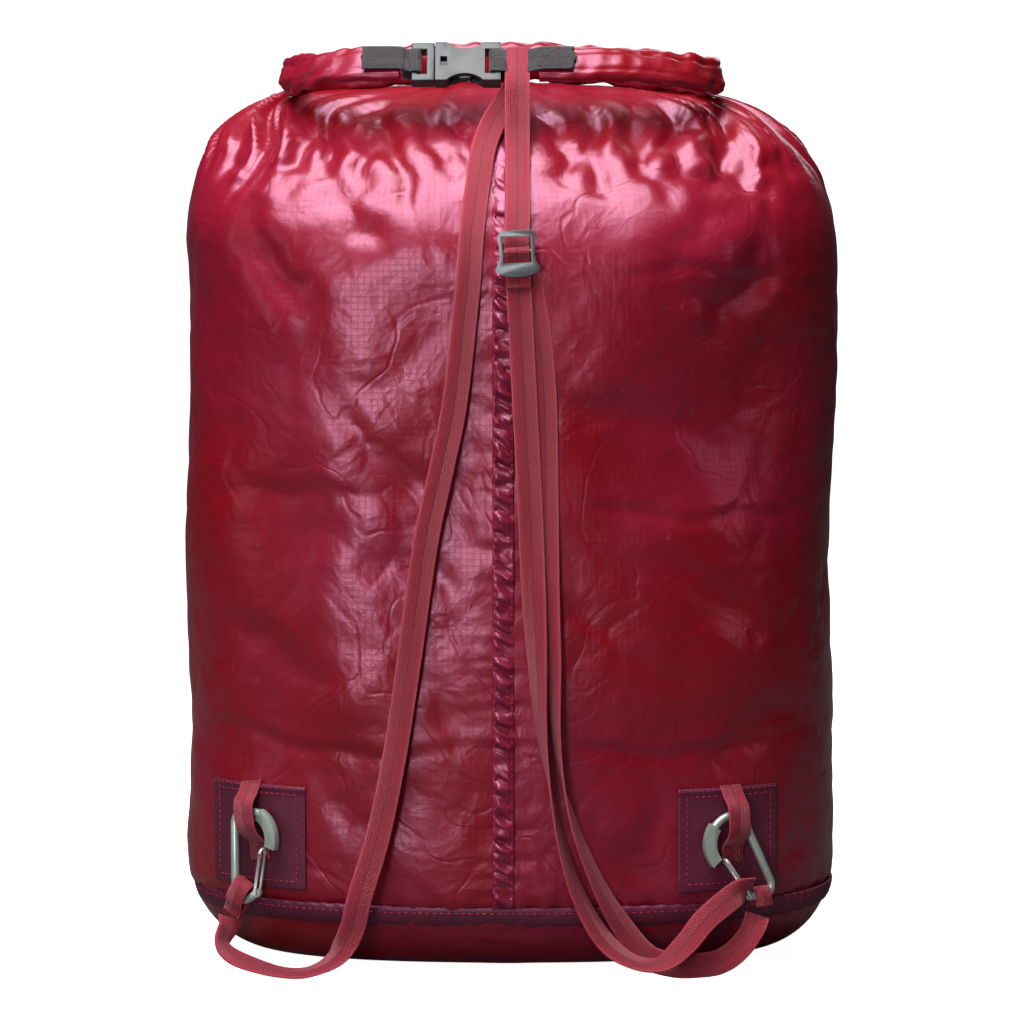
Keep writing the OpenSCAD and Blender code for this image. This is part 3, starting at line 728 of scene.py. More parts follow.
def build_sack():
    props = bpy.context.scene.sack_body
    cols = props.columns
    zs = sack_rows(props.rows)
    rows = len(zs)
    # even spacing round the ring, measured on the full girth
    fine = np.linspace(0, 2 * math.pi, 4000) - math.pi / 2
    cx, sy = rounded(fine, SQUARENESS)
    run = np.concatenate([[0], np.cumsum(np.hypot(np.diff(FULL_W * cx), np.diff(FULL_D * sy)))])
    girth = run[-1]
    cx, sy = rounded(np.interp(np.linspace(0, girth, cols, endpoint=False), run, fine), SQUARENESS)
    Z = np.repeat(zs, cols)
    CX, SY = np.tile(cx, rows), np.tile(sy, rows)
    S = np.tile(np.linspace(0, girth, cols, endpoint=False), rows)
    X = mid_x(Z) + half_w(Z) * CX
    Y = mid_y(Z) + half_d(Z) * SY
    P = np.stack([X, Y, Z + arch(X, Z)], 1)
    # outward normals from the neighbours
    G = P.reshape(rows, cols, 3)
    du = np.roll(G, -1, 1) - np.roll(G, 1, 1)
    dv = np.gradient(G, axis=0)
    N = np.cross(du, dv)
    N /= np.maximum(1e-9, np.linalg.norm(N, axis=2))[..., None]
    N = N.reshape(-1, 3)
    x, z = P[:, 0], P[:, 2]
    front = smooth(-N[:, 1], 0.05, 0.45)
    rear = smooth(N[:, 1], 0.05, 0.45)
    # lumps of what is packed inside
    lumps = noise_field(P * 9, (3, 1, 7)) * 5.5 * MM + noise_field(P * 20, (9, 4, 2)) * 2.0 * MM
    calm = smooth(z, 0.004, 0.05) * (1 - smooth(z, 0.415, 0.441))
    near_seam = np.exp(-((x + 5 * MM) / (16 * MM)) ** 2) * front
    # straight-edged creases of thin coated cloth, stretched along the height near the collar
    crisp = ridge_field(P * 17, (1, 5, 3)) * 0.6 + ridge_field(P * 38, (7, 2, 8)) * 0.3
    crease = crisp * props.crumple
    # pleats that run down from the collar
    turn = S / girth * 2 * math.pi + 0.35 * noise_field(P * 14, (2, 8, 5))
    wide = np.stack([np.cos(turn) * 12, np.sin(turn) * 12, z * 7], 1)
    narrow = wide * [2.6, 2.6, 2.2]
    outer = 0.3 + 0.7 * smooth(np.abs(x + 6 * MM), 0.045, 0.1)
    pleat = (noise_field(wide) * 1.5 + noise_field(narrow, (5, 5, 5)) * 0.5) * props.gather * outer
    high = smooth(z, 0.372, 0.436)
    # short puckers beside the upright seam and round the base seam
    upright = noise_field(np.stack([x * 30, z * 0, z * 190], 1), (2, 2, 2)) * props.pucker * 1.6 * near_seam
    level = np.exp(-((z - SEAM_Z) / (9 * MM)) ** 2)
    ring_pucker = noise_field(np.stack([S * 150, S * 0, z * 30], 1), (4, 1, 1)) * props.pucker * 2.2 * level
    groove = -1.2 * MM * np.exp(-((z - SEAM_Z) / (3 * MM)) ** 2)
    out = (lumps + crease) * calm * (1 - 0.6 * near_seam) + pleat * high * (1 - 0.5 * smooth(z, 0.436, 0.449))
    out += upright + ring_pucker + groove
    out += folds(x, z, FRONT_FOLDS) * front + folds(x, z, FRONT_FOLDS, -1) * rear * 0.9
    # the cloth stays flat under the corner patches
    for node in ("corner_patch_left", "corner_patch_right"):
        low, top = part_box(node)
        inside = front.copy()
        for at, axis in ((x, 0), (z, 2)):
            inside *= smooth(at, low[axis] - 0.02, low[axis] + 0.004)
            inside *= 1 - smooth(at, top[axis] - 0.004, top[axis] + 0.02)
        out = out * (1 - inside) - 0.0003 * inside
    # and lies behind the straps
    strap_side = front * np.exp(-(x / (70 * MM)) ** 2)
    out = np.where(out > 0.8 * MM, out - (out - 0.8 * MM) * strap_side * 0.85, out)
    P = P + N * out[:, None]
    P[:, 2] = np.maximum(P[:, 2], GROUND_GAP)
    verts = P.tolist()
    faces = grid_faces(rows, cols, True)
    uv_row = np.concatenate([[0], np.cumsum(np.linalg.norm(np.diff(G[:, cols // 8], axis=0), axis=1))])
    step = girth / cols
    uvs = []
    for r in range(rows - 1):
        for k in range(cols):
            uvs += [(k * step, uv_row[r]), ((k + 1) * step, uv_row[r]),
                    ((k + 1) * step, uv_row[r + 1]), (k * step, uv_row[r + 1])]
    # flat bottom in rings down to its middle, and the rim closed inside the collar
    ends = []
    last = 0
    centre = np.array([0.0, 0.0, GROUND_GAP])
    first_ring = np.array(verts[:cols])
    for share in (0.92, 0.8, 0.6, 0.35, 0.12):
        start = len(verts)
        verts += (centre + (first_ring - centre) * [share, share, 1]).tolist()
        for k in range(cols):
            d = (k + 1) % cols
            ends.append((start + k, start + d, last + d, last + k))
        last = start
    verts.append(centre.tolist())
    ends += [(len(verts) - 1, last + (k + 1) % cols, last + k) for k in range(cols)]
    top = (rows - 1) * cols
    half = cols // 2
    ends.append((top, top + 1, top + cols - 1))
    ends += [(top + k, top + k + 1, top + cols - k - 1, top + cols - k) for k in range(1, half - 1)]
    ends.append((top + half - 1, top + half, top + half + 1))
    uvs += flat_uvs(verts, ends, 1)
    piece = mesh_piece("sack_cloth", verts, faces + ends, cloth_material(), uvs)
    finish(piece, "sack", ("sack_tube", "base_panel", "base_seam_tape"))


class SACK_OT_cloth(bpy.types.Operator):
    """Build the filled, creased sack"""
    bl_idname = "sack.cloth"
    bl_label = "Sack cloth"

    def execute(self, context):
        build_sack()
        return {"FINISHED"}


# ------------------------------------------------------------------ seams and patches


def laid_piece(name, x0, x1, z0, z1, nx, nz, lift, thick, material, ripple):
    """A thin cloth piece on the strap side; ripple(x, z) adds to how far it stands out."""
    xs, zs = np.linspace(x0, x1, nx), np.linspace(z0, z1, nz)
    gx, gz = np.meshgrid(xs, zs)
    top = np.stack([gx, front_y(gx, gz) - lift - thick - ripple(gx, gz), gz + arch(gx, gz)], 2).reshape(-1, 3)
    under = top + [0, thick, 0]
    verts = np.concatenate([top, under]).tolist()
    n = len(top)
    faces = grid_faces(nz, nx, False)
    flipped = [tuple(n + i for i in reversed(f)) for f in faces]
    rim = [r * nx for r in range(nz)] + [(nz - 1) * nx + c for c in range(1, nx)]
    rim += [r * nx + nx - 1 for r in range(nz - 2, -1, -1)] + [c for c in range(nx - 2, 0, -1)]
    walls = [(a, b, n + b, n + a) for a, b in zip(rim, rim[1:] + rim[:1])]
    every = faces + flipped + walls
    return mesh_piece(name, verts, every, material, flat_uvs(verts, every, 2))


def line_on_cloth(points, lift):
    """A row of (point, normal) through x, z corners on the strap side."""
    row = []
    for (xa, za), (xb, zb) in zip(points, points[1:]):
        count = max(2, int(math.hypot(xb - xa, zb - za) / (2 * MM)))
        for i in range(count + (0 if (xb, zb) != points[-1] else 1)):
            t = i / count
            x, z = xa + (xb - xa) * t, za + (zb - za) * t
            slope = (cloth_y(x + MM, z) - cloth_y(x - MM, z)) / (2 * MM)
            rake = (cloth_y(x, z + MM) - cloth_y(x, z - MM)) / (2 * MM)
            normal = Vector((slope, -1, rake)).normalized()
            at = Vector((x, cloth_y(x, z), z + float(arch(np.float64(x), np.float64(z)))))
            row.append((at + normal * lift, normal))
    return row


def build_seam():
    low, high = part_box("back_seam_strip")

    def ripple(x, z):
        flat = np.stack([x.ravel() * 90, z.ravel() * 0, (z.ravel() + x.ravel() * 0.5) * 250], 1)
        wave = noise_field(flat, (1, 1, 1)).reshape(x.shape)
        middle = 1 - np.abs((x - (low[0] + high[0]) / 2) / ((high[0] - low[0]) / 2))
        return (0.6 + wave * 3.6) * MM * smooth(middle, 0.0, 0.5)

    piece = laid_piece("back_seam", low[0], high[0], 36 * MM, 437 * MM, 13, 520, 0.2 * MM, 0.5 * MM,
                       seam_cloth_material(), ripple)
    finish(piece, "sack", ("back_seam_strip",))
    rows = [line_on_cloth([(x, 38 * MM), (x, 434 * MM)], 0.9 * MM)
            for x in (low[0] + 1.2 * MM, high[0] - 1.2 * MM)]
    stitch_rows("back_seam_stitches", rows, "sack", 2.4 * MM, 3.4 * MM, 0.55 * MM)


def ring_on_sack(z, out, count):
    """Points round the sack at one height, standing out from its cloth."""
    cx, sy = rounded(np.linspace(0, 2 * math.pi, count, endpoint=False), SQUARENESS)
    return np.stack([(half_w(np.float64(z)) + out) * cx, (half_d(np.float64(z)) + out) * sy, np.full(count, z)], 1)


def build_base_seam():
    count = 420
    levels = [26, 27, 29.5, 32, 34, 36, 37]
    lifts = [-0.9, 0.35, 0.75, 0.7, 0.5, 0.3, -0.9]
    verts = []
    for z, lift in zip(levels, lifts):
        ring = ring_on_sack(z * MM, lift * MM, count)
        ring += 0.0004 * np.sin(np.arange(count) * 1.7 + z)[:, None] * np.sign(ring) * [1, 1, 0.6]
        verts += ring.tolist()
    faces = grid_faces(len(levels), count, True)
    inner = len(levels) - 1
    faces += [(inner * count + k, inner * count + (k + 1) % count, (k + 1) % count, k) for k in range(count)]
    run = 2 * math.pi * 0.13 / count
    uvs = [((i % count) * run, verts[i][2]) for f in faces for i in f]
    piece = mesh_piece("base_seam", verts, faces, dark_cloth_material(), uvs)
    finish(piece, "sack", ())
    row = ring_on_sack(33.6 * MM, 0.4 * MM, 400)
    closed = [(Vector(p), Vector((p[0] / FULL_W ** 2, p[1] / FULL_D ** 2, 0)).normalized()) for p in row]
    closed.append(closed[0])
    stitch_rows("base_seam_stitches", [closed], "sack", 2.4 * MM, 3.6 * MM, 0.6 * MM)


class SACK_OT_seams(bpy.types.Operator):
    """Build the puckered upright seam and the base seam with their stitches"""
    bl_idname = "sack.seams"
    bl_label = "Seams"

    def execute(self, context):
        build_seam()
        build_base_seam()
        return {"FINISHED"}


def build_patch(side):
    node = "corner_patch_" + side
    low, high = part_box(node)
    fold = 3.2 * MM

    def ripple(x, z):
        hem = np.exp(-((z - (high[2] - fold / 2)) / (fold * 0.45)) ** 2) * 0.8 * MM
        wave = noise_field(np.stack([x.ravel() * 60, z.ravel() * 45, x.ravel() * 0], 1), (6, 1, 2)).reshape(x.shape)
        return hem + (0.15 + wave * 0.5) * MM

    piece = laid_piece("patch_" + side, low[0], high[0], low[2], high[2], 56, 56, 0.3 * MM, 0.5 * MM,
                       dark_cloth_material(), ripple)
    finish(piece, "sack", (node,))
    inset = 4.2 * MM
    x0, x1, z0, z1 = low[0] + inset, high[0] - inset, low[2] + inset, high[2] - inset
    hem_z = high[2] - 1.2 * MM
    rows = [line_on_cloth([(x0, z0), (x1, z0), (x1, z1), (x0, z1), (x0, z0)], 1.15 * MM),
            line_on_cloth([(low[0] + MM, hem_z), (high[0] - MM, hem_z)], 1.6 * MM)]
    stitch_rows("patch_stitches_" + side, rows, "sack", 2.2 * MM, 3.2 * MM, 0.55 * MM)


class SACK_OT_patches(bpy.types.Operator):
    """Build the two reinforced corner patches with their stitch lines"""
    bl_idname = "sack.patches"
    bl_label = "Corner patches"

    def execute(self, context):
        for side in ("left", "right"):
            build_patch(side)
        return {"FINISHED"}


# ------------------------------------------------------------------ routes of collar and straps


def spline_path(stations, steps):
    """Smooth curve through stations, each a list of numbers, as in part.scad."""
    r = np.array(stations, dtype=float)
    out = []
    last = len(r) - 1
    for i in range(last):
        a, b, c, d = r[max(0, i - 1)], r[i], r[i + 1], r[min(last, i + 2)]
        for k in range(steps):
            t = k / steps
            out.append(0.5 * (2 * b + (c - a) * t + (2 * a - 5 * b + 4 * c - d) * t * t
                              + (3 * b - a - 3 * c + d) * t ** 3))
    out.append(r[-1])
    return np.array(out)


COLLAR_ROUTE = [
    [-57, -50, 458.5, 42], [-76, -48.5, 458.5, 42], [-94, -41, 456.5, 36], [-109, -26, 453.5, 20],
    [-115, -8, 452, 6], [-108, 8, 452.3, 0], [-88, 14, 454, 0], [-48, 14, 457.7, 0], [-6, 14, 459.3, 0],
    [36, 14, 457.7, 0], [74, 14, 454, 0], [95, 8, 452.3, 0], [103, -8, 452, 6], [96, -25, 453.5, 20],
    [79, -38, 456.5, 36], [56, -46, 458.5, 42], [34, -50, 458.5, 42], [13, -50, 458.5, 42]]


def build_collar():
    path = spline_path(COLLAR_ROUTE, 22)
    at, lean = path[:, :3] * MM, np.radians(path[:, 3])
    along = unit(np.gradient(at, axis=0))
    out_flat = unit(np.stack([-along[:, 1], along[:, 0], 0 * lean], 1))
    up_z = np.array([0, 0, 1.0])
    up = -out_flat * np.sin(lean)[:, None] + up_z * np.cos(lean)[:, None]
    out = out_flat * np.cos(lean)[:, None] + up_z * np.sin(lean)[:, None]
    run = travel(at)
    n, around = len(at), 44
    turn = np.linspace(0, 2 * math.pi, around, endpoint=False)
    cc, ss = rounded(turn, 2.7)
    # thicker on the far side, lower at the two bends
    back = smooth(at[:, 1], -30 * MM, 6 * MM)
    bend = np.exp(-((at[:, 1] + 8 * MM) / (18 * MM)) ** 2)
    face = np.full(n, 4.4 * MM)
    rear = 4.6 * MM + 3.0 * MM * back
    tall = 10.4 * MM - 0.8 * MM * bend
    A = np.where(cc[None, :] > 0, face[:, None], rear[:, None]) * cc[None, :]
    B = tall[:, None] * ss[None, :]
    RUN = np.repeat(run, around)
    TURN = np.tile(turn, n)
    C, S = np.cos(TURN), np.sin(TURN)
    P = (at[:, None, :] + out[:, None, :] * A[..., None] + up[:, None, :] * B[..., None]).reshape(-1, 3)
    N = unit(out[:, None, :] * (cc[None, :, None]) + up[:, None, :] * (ss[None, :, None])).reshape(-1, 3)
    # creases across the roll, weaker under the buckle's webbing
    pleats = noise_field(np.stack([(RUN + S * 0.006) * 120, C * 0.8, S * 0.8], 1), (3, 3, 3))
    soft = noise_field(np.stack([RUN * 45, C, S], 1), (8, 1, 1))
    edge = ridge_field(np.stack([RUN * 60 + S * 0.5, C * 0.7, S * 0.9], 1), (2, 6, 4))
    under_tab = np.repeat(smooth(at[:, 1], -49 * MM, -42 * MM), around)
    depth = 0.35 + 0.65 * np.maximum(under_tab, np.clip(-C, 0, 1))
    amount = (pleats * 1.9 + soft * 1.9 + edge * 1.1) * MM * depth
    # the edges of the rolled layers
    layer = (-0.9 * MM * np.exp(-((S - 0.42) / 0.09) ** 2)
             - 0.8 * MM * np.exp(-((S + 0.5) / 0.08) ** 2))
    P = P + N * (amount + layer * np.clip(C * 2, -1, 1) ** 2)[:, None]
    verts = P.tolist()
    faces = grid_faces(n, around, True)
    w = 0.062 / around
    uvs = []
    for r in range(n - 1):
        for k in range(around):
            uvs += [(k * w, run[r]), ((k + 1) * w, run[r]), ((k + 1) * w, run[r + 1]), (k * w, run[r + 1])]
    caps = [tuple(range(around))[::-1], tuple(range((n - 1) * around, n * around))]
    uvs += flat_uvs(verts, caps, 2)
    piece = mesh_piece("collar_roll", verts, faces + caps, rolled_cloth_material(), uvs)
    face_outwards(piece)
    finish(piece, "sack", ("rolled_collar", "collar_stiffener"))


class SACK_OT_collar(bpy.types.Operator):
    """Build the rolled collar with its layers and crosswise creases"""
    bl_idname = "sack.collar"
    bl_label = "Rolled collar"

    def execute(self, context):
        build_collar()
        return {"FINISHED"}


# x, y, z and facing of the strap's stations, as in part.scad, in millimetres
LEFT_RUN = [
    [2.4, -45.2, 466.9, 0, -0.3, 1], [2.4, -43.2, 465.9, 0, 1, 1], [2.4, -42.9, 463.3, 0, 1, -0.5],
    [2.4, -46.1, 458.9, 0, 0.75, -0.65], [2.4, -49.9, 454.3, 0, 0.75, -0.65],
    [0.8, -53.7, 446.3, 0, 1, -0.3], [-5, -57.6, 438, 0, 1, -0.2], [-11, -62, 428, 0, 1, -0.4],
    [-15, -70.2, 417, 0, 0.9, -0.5], [-17, -81.6, 404.8, 0, 0.8, -0.6],
    [-19, -91.4, 390.2, 0, 0.9, -0.4], [-21, -98.8, 372.6, 0, 1, -0.2], [-22.6, -101.8, 350, 0, 1, 0],
    [-29, -102, 293, 0, 1, 0], [-36, -102, 258, 0, 1, 0], [-43, -102, 226, 0, 1, 0],
    [-48, -102, 193, 0.1, 1, 0], [-54, -102.6, 150, 0.3, 1, 0], [-60, -103.5, 112, 0.35, 1, 0],
    [-68, -105.5, 74, 0.25, 1, 0], [-77, -108, 44, 0.1, 1, -0.1], [-81.5, -106.5, 26, 0, 0.9, -0.3],
    [-90, -103, 12, 0, 0.6, -0.8], [-103, -99, 4.2, 0, 0.3, -1], [-117, -95.5, 3.2, 0, 0.2, -1],
    [-133, -91.5, 6.6, -0.2, 0.4, -0.9], [-143.5, -88, 11, -0.6, 0.5, -0.5],
    [-147.5, -84, 17, -0.8, 0.6, 0], [-145, -79.5, 23, -0.6, 0.8, 0], [-143.8, -77, 27.5, -0.2, 0.95, 0]]
RIGHT_RUN = [
    [2, -46.6, 466.7, 0, -0.7, 0.8], [2, -48, 465.2, 0, -0.74, 0.67], [2, -53, 459.6, 0, -0.74, 0.67],
    [2, -57.4, 454.2, 0, -0.8, 0.5], [2, -60.4, 448, 0, -1, 0.2], [2, -62.6, 437, 0, -1, 0.1],
    [2, -66.4, 423.4, 0, -1, 0.3], [2, -74.8, 410.8, 0, -0.85, 0.5], [2, -86.6, 397.8, 0, -0.9, 0.5],
    [2, -96.8, 384.8, 0, -1, 0.3], [1.5, -102.3, 372, 0, -1, 0], [2.4, -102.5, 355, 0, -1, 0],
    [5, -102.5, 305, 0, -1, 0], [8.2, -102.5, 243.5, 0, -1, 0], [9.8, -103.3, 205, -0.2, -1, 0],
    [11.6, -105.5, 168, -0.6, -0.8, 0], [14, -107.4, 128, -0.9, -0.4, 0], [18.5, -108, 98, -1, 0, 0],
    [25, -108.5, 68, -1, 0.35, -0.2], [34, -109.5, 42, -0.8, 0.6, -0.4],
    [46, -110.5, 22, -0.5, 0.7, -0.6], [60, -111.5, 12, -0.2, 0.4, -0.9],
    [74, -111, 10.5, 0.1, 0.4, -0.9], [86, -107, 19.5, 0.3, 0.8, -0.5], [96, -102.5, 31, 0.3, 1, -0.3],
    [106, -98.6, 39, 0.2, 1, -0.2], [114, -94.6, 44.2, 0.2, 0.95, 0.2], [121, -89.8, 46.4, 0.1, 0.8, 0.6]]
RIGHT_RETURN = [
    [6.5, -101, 357, 0, -1, 0], [9.6, -101, 344, 0, -1, 0], [13.5, -101, 318, 0, -1, 0],
    [15.5, -101, 290, 0, -1, 0], [16.3, -101.1, 245, -0.05, -1, 0], [17, -102.5, 200, -0.3, -1, 0],
    [18.5, -104.5, 165, -0.55, -0.85, 0], [20.5, -106.4, 130, -0.9, -0.45, 0],
    [24.5, -107.1, 103, -1, -0.1, 0], [32, -107.3, 76, -1, 0.3, -0.2],
    [44, -105.8, 47, -0.8, 0.6, -0.4], [56, -101.2, 26, -0.5, 0.9, -0.3],
    [67, -100, 12.5, -0.2, 1, -0.2], [80, -100.5, 8, 0, 1, -0.2], [92, -101, 7.8, 0, 1, -0.1],
    [104, -100, 9.5, 0.2, 1, -0.1], [114, -97, 16, 0.4, 1, -0.2], [121, -92.8, 25, 0.3, 1, -0.3],
    [123.4, -87.8, 31, 0, 1, -0.2]]


def tape_mesh(name, at, across, face, width, thick, material, run):
    """A flat tape round a row of points, with its own across and facing directions."""
    shape = [(-0.5, -0.25), (-0.5, 0.25), (-0.46, 0.5), (-0.25, 0.5), (0, 0.5), (0.25, 0.5), (0.46, 0.5),
             (0.5, 0.25), (0.5, -0.25), (0.46, -0.5), (0.25, -0.5), (0, -0.5), (-0.25, -0.5), (-0.46, -0.5)]
    cup = 0.35 * MM * np.sin(run * 38 + 1)
    verts = []
    for i in range(len(at)):
        for u, v in shape:
            p = at[i] + across[i] * (u * width) + face[i] * (v * thick + cup[i] * (0.25 - u * u) * 2)
            verts.append(p.tolist())
    k = len(shape)
    faces = [tuple(reversed(f)) for f in grid_faces(len(at), k, True)]
    uvs = []
    us = [u * width for u, _ in shape]
    for r in range(len(at) - 1):
        for c in range(k):
            d = (c + 1) % k
            uvs += [(us[c], run[r + 1]), (us[d], run[r + 1]), (us[d], run[r]), (us[c], run[r])]
    for cap in (range(k), range(len(at) * k - 1, (len(at) - 1) * k - 1, -1)):
        faces.append(tuple(cap))
        uvs += [(us[i % k], run[0]) for i in cap]
    piece = mesh_piece(name, verts, faces, material, uvs)
    face_outwards(piece)
    return piece


def ribbon(name, stations, start_run, steps=8):
    """A strap along its stations, with the points that its middle follows."""
    path = spline_path(stations, steps)
    at = path[:, :3] * MM
    along = unit(np.gradient(at, axis=0))
    across = unit(np.cross(along, path[:, 3:6]))
    face = np.cross(across, along)
    piece = tape_mesh(name, at, across, face, STRAP_W, STRAP_T, webbing_material(), travel(at, start_run))
    return piece, [tuple(p) for p in at]


def bent_tape(name, frame, points, across, width, material, thick=STRAP_T, steps=6):
    """A short sewn tape through points of a hardware frame, in millimetres.

    across is the direction of its width. The tape's points, and its directions at them, come back with it.
    """
    path = spline_path(points, steps)
    turn = np.array(frame.to_3x3())
    at = (path @ turn.T + np.array(frame.translation)) * MM
    along = unit(np.gradient(at, axis=0))
    side = np.tile(turn @ np.array(across, dtype=float), (len(at), 1))
    side = unit(side - along * (side * along).sum(1)[:, None])
    face = np.cross(side, along)
    piece = tape_mesh(name, at, side, face, width, thick, material, travel(at))
    return piece, at, side, face


# piece, stations, CAD node, carabiner, where the blend starts and ends, and where its weave starts
STRAPS = [
    ("strap_left", LEFT_RUN, "strap_left_run", "carabiner_left",
     (-0.117, -0.09, 0.01), (-0.1435, -0.09, 0.01), 0.0),
    ("strap_right", RIGHT_RUN, "strap_right_run", "carabiner_right",
     (0.05, -0.1, 0.03), (0.106, -0.1, 0.03), 0.3),
    ("strap_return", RIGHT_RETURN, "strap_right_return", "carabiner_right",
     (0.06, -0.1, 0.02), (0.121, -0.1, 0.02), 0.7),
]


class SACK_OT_straps(bpy.types.Operator):
    """Build the three runs of the carry strap"""
    bl_idname = "sack.straps"
    bl_label = "Carry strap"

    def execute(self, context):
        for name, stations, node, carabiner, start, end, start_run in STRAPS:
            piece, points = ribbon(name, stations, start_run)
            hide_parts(node)
            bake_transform(piece)
        return {"FINISHED"}


# ------------------------------------------------------------------ hardware


# places in millimetres and turns in degrees, as in part.scad
LEFT_X, RIGHT_X, BOW_Z, BOW_OUT = -130.5, 109.5, 82.5, 5.2
REST_LEAN, LEFT_TURN, RIGHT_TURN = -5, -4, -23.5
FOOT, FOOT_R, EYE_LEAN, BEND_LEAN = (3.04, -39.9), 5.7, 60, 18.6
BUCKLE_AT, BUCKLE_LEAN = (-28.8, -50, 458.5), 48
SLIDER_AT, SLIDER_LEAN = (1.8, -106.1, 366.5), -3


def turned(x, y, z):
    """Rotation about x, then y, then z, in degrees."""
    return (Matrix.Rotation(math.radians(z), 4, "Z") @ Matrix.Rotation(math.radians(y), 4, "Y")
            @ Matrix.Rotation(math.radians(x), 4, "X"))


def corner_frame(x):
    """Frame of a corner loop, in millimetres: x along the cloth, -y out of it, z up."""
    depth = [cloth_y((x + d) * MM, BOW_Z * MM) / MM for d in (-1, 0, 1)]
    turn = math.degrees(math.atan((depth[2] - depth[0]) / 2))
    return Matrix.Translation((x, depth[1], BOW_Z)) @ turned(0, 0, turn) @ Matrix.Translation((0, -BOW_OUT, 0))


def left_frame():
    return (corner_frame(LEFT_X) @ turned(REST_LEAN, LEFT_TURN, 0) @ Matrix.Translation((-1.1, 0, 0))
            @ Matrix.Diagonal((-1, 1, 1, 1)))


def right_frame():
    return corner_frame(RIGHT_X) @ turned(REST_LEAN, RIGHT_TURN, 0) @ Matrix.Translation((-5.3, 0, 0.9))


def buckle_frame():
    return Matrix.Translation(BUCKLE_AT) @ turned(BUCKLE_LEAN, 0, 0)


def slider_frame():
    return Matrix.Translation(SLIDER_AT) @ turned(0, SLIDER_LEAN, 0)


def sewn_box(name, at, side, face, body, first, last, width, material, top=0.75 * MM):
    """Box stitch across a tape between two of its points, on its outer face."""
    half = width / 2 - 1.5 * MM

    def spot(i, u):
        return Vector(at[i] + side[i] * u + face[i] * top), Vector(face[i])
    steps = range(first, last + 1)
    rows = [[spot(i, half) for i in steps], [spot(i, -half) for i in steps]]
    for end in (first, last):
        rows.append([spot(end, half * (1 - k / 4)) for k in range(9)])
    count = len(steps) - 1
    rows.append([spot(i, half * (1 - 2 * k / count)) for k, i in enumerate(steps)])
    rows.append([spot(i, -half * (1 - 2 * k / count)) for k, i in enumerate(steps)])
    return stitch_rows(name, rows, body, 1.5 * MM, 1.9 * MM, 0.42 * MM, material, 0.05 * MM)


def shaped(node, material, body, bevel=0.0, segments=3):
    """A smooth copy of a hard node: its loose triangles are welded, its corners rounded."""
    clear_selection()
    piece = bpy.data.objects.new(node + "_shaped", bpy.data.objects[node].data.copy())
    bpy.context.collection.objects.link(piece)
    active(piece)
    bpy.ops.object.mode_set(mode="EDIT")
    bpy.ops.mesh.select_all(action="SELECT")
    bpy.ops.mesh.remove_doubles(threshold=0.00001)
    bpy.ops.mesh.dissolve_limited(angle_limit=math.radians(1.5))
    bpy.ops.object.mode_set(mode="OBJECT")
    if bevel:
        apply_modifier(piece, "BEVEL", width=bevel, segments=segments, limit_method="ANGLE",
                       angle_limit=math.radians(40), use_clamp_overlap=True)
    active(piece)
    bpy.ops.object.shade_smooth_by_angle(angle=math.radians(35))
    piece.data.materials.clear()
    piece.data.materials.append(material)
    return finish(piece, body, (node,))


def corner_loops():
    """Webbing folded under the patch's top hem, over the carabiner's bow and sewn down below it."""
    width, top = 11.6 * MM, 14.6
    foot = BOW_OUT - 1.65
    profile = [(foot + 0.4, top), (foot - 0.3, 13.2), (foot - 1.9, 11.4), (-0.6, 8.8), (-4.4, 5.6), (-5.9, 2.0),
               (-6.1, -2.5), (-5.9, -7.2), (-3.4, -11.4), (0.6, -14.4), (foot - 0.3, -17.2), (foot, -20.5),
               (foot, -25.2)]
    # each loop slants a little across its patch: by how much, and where it is straight above the bow
    for side, x, slant, middle in (("left", LEFT_X, 6.0, 0.35), ("right", RIGHT_X, 1.5, 0.3)):
        points = [(slant * ((top - z) / 40 - middle), y, z) for y, z in profile]
        piece, at, across, face = bent_tape("corner_loop_" + side, corner_frame(x), points, (1, 0, 0),
                                            width, webbing_material(), 1.05 * MM)
        if face[0][1] > 0:
            face = -face
        finish(piece, "sack", ("patch_loop_" + side,))
        last = len(at) - 2
        sewn_box("corner_loop_stitches_" + side, at, across, face, "sack", last - 14, last, width,
                 dark_thread_material())


# For each buckle tape: which way it runs, the near and far face of its bar, half the buckle's thickness,
# and the points over the collar where it lifts off the bar and is laid flat
TABS = [
    ("left", -1, -19, -22.5, 3.2, [(-26.7, 4.6), (-26.8, 5.2), (-31.3, 5.7), (-42, 5.7), (-48, 5.7)]),
    ("right", 1, 18.1, 22.5, 3.6,
     [(27.5, 2.4), (33.5, 2.2), (37, 3.4), (42.5, 5.2), (47.5, 5.7), (61, 5.7)]),
]


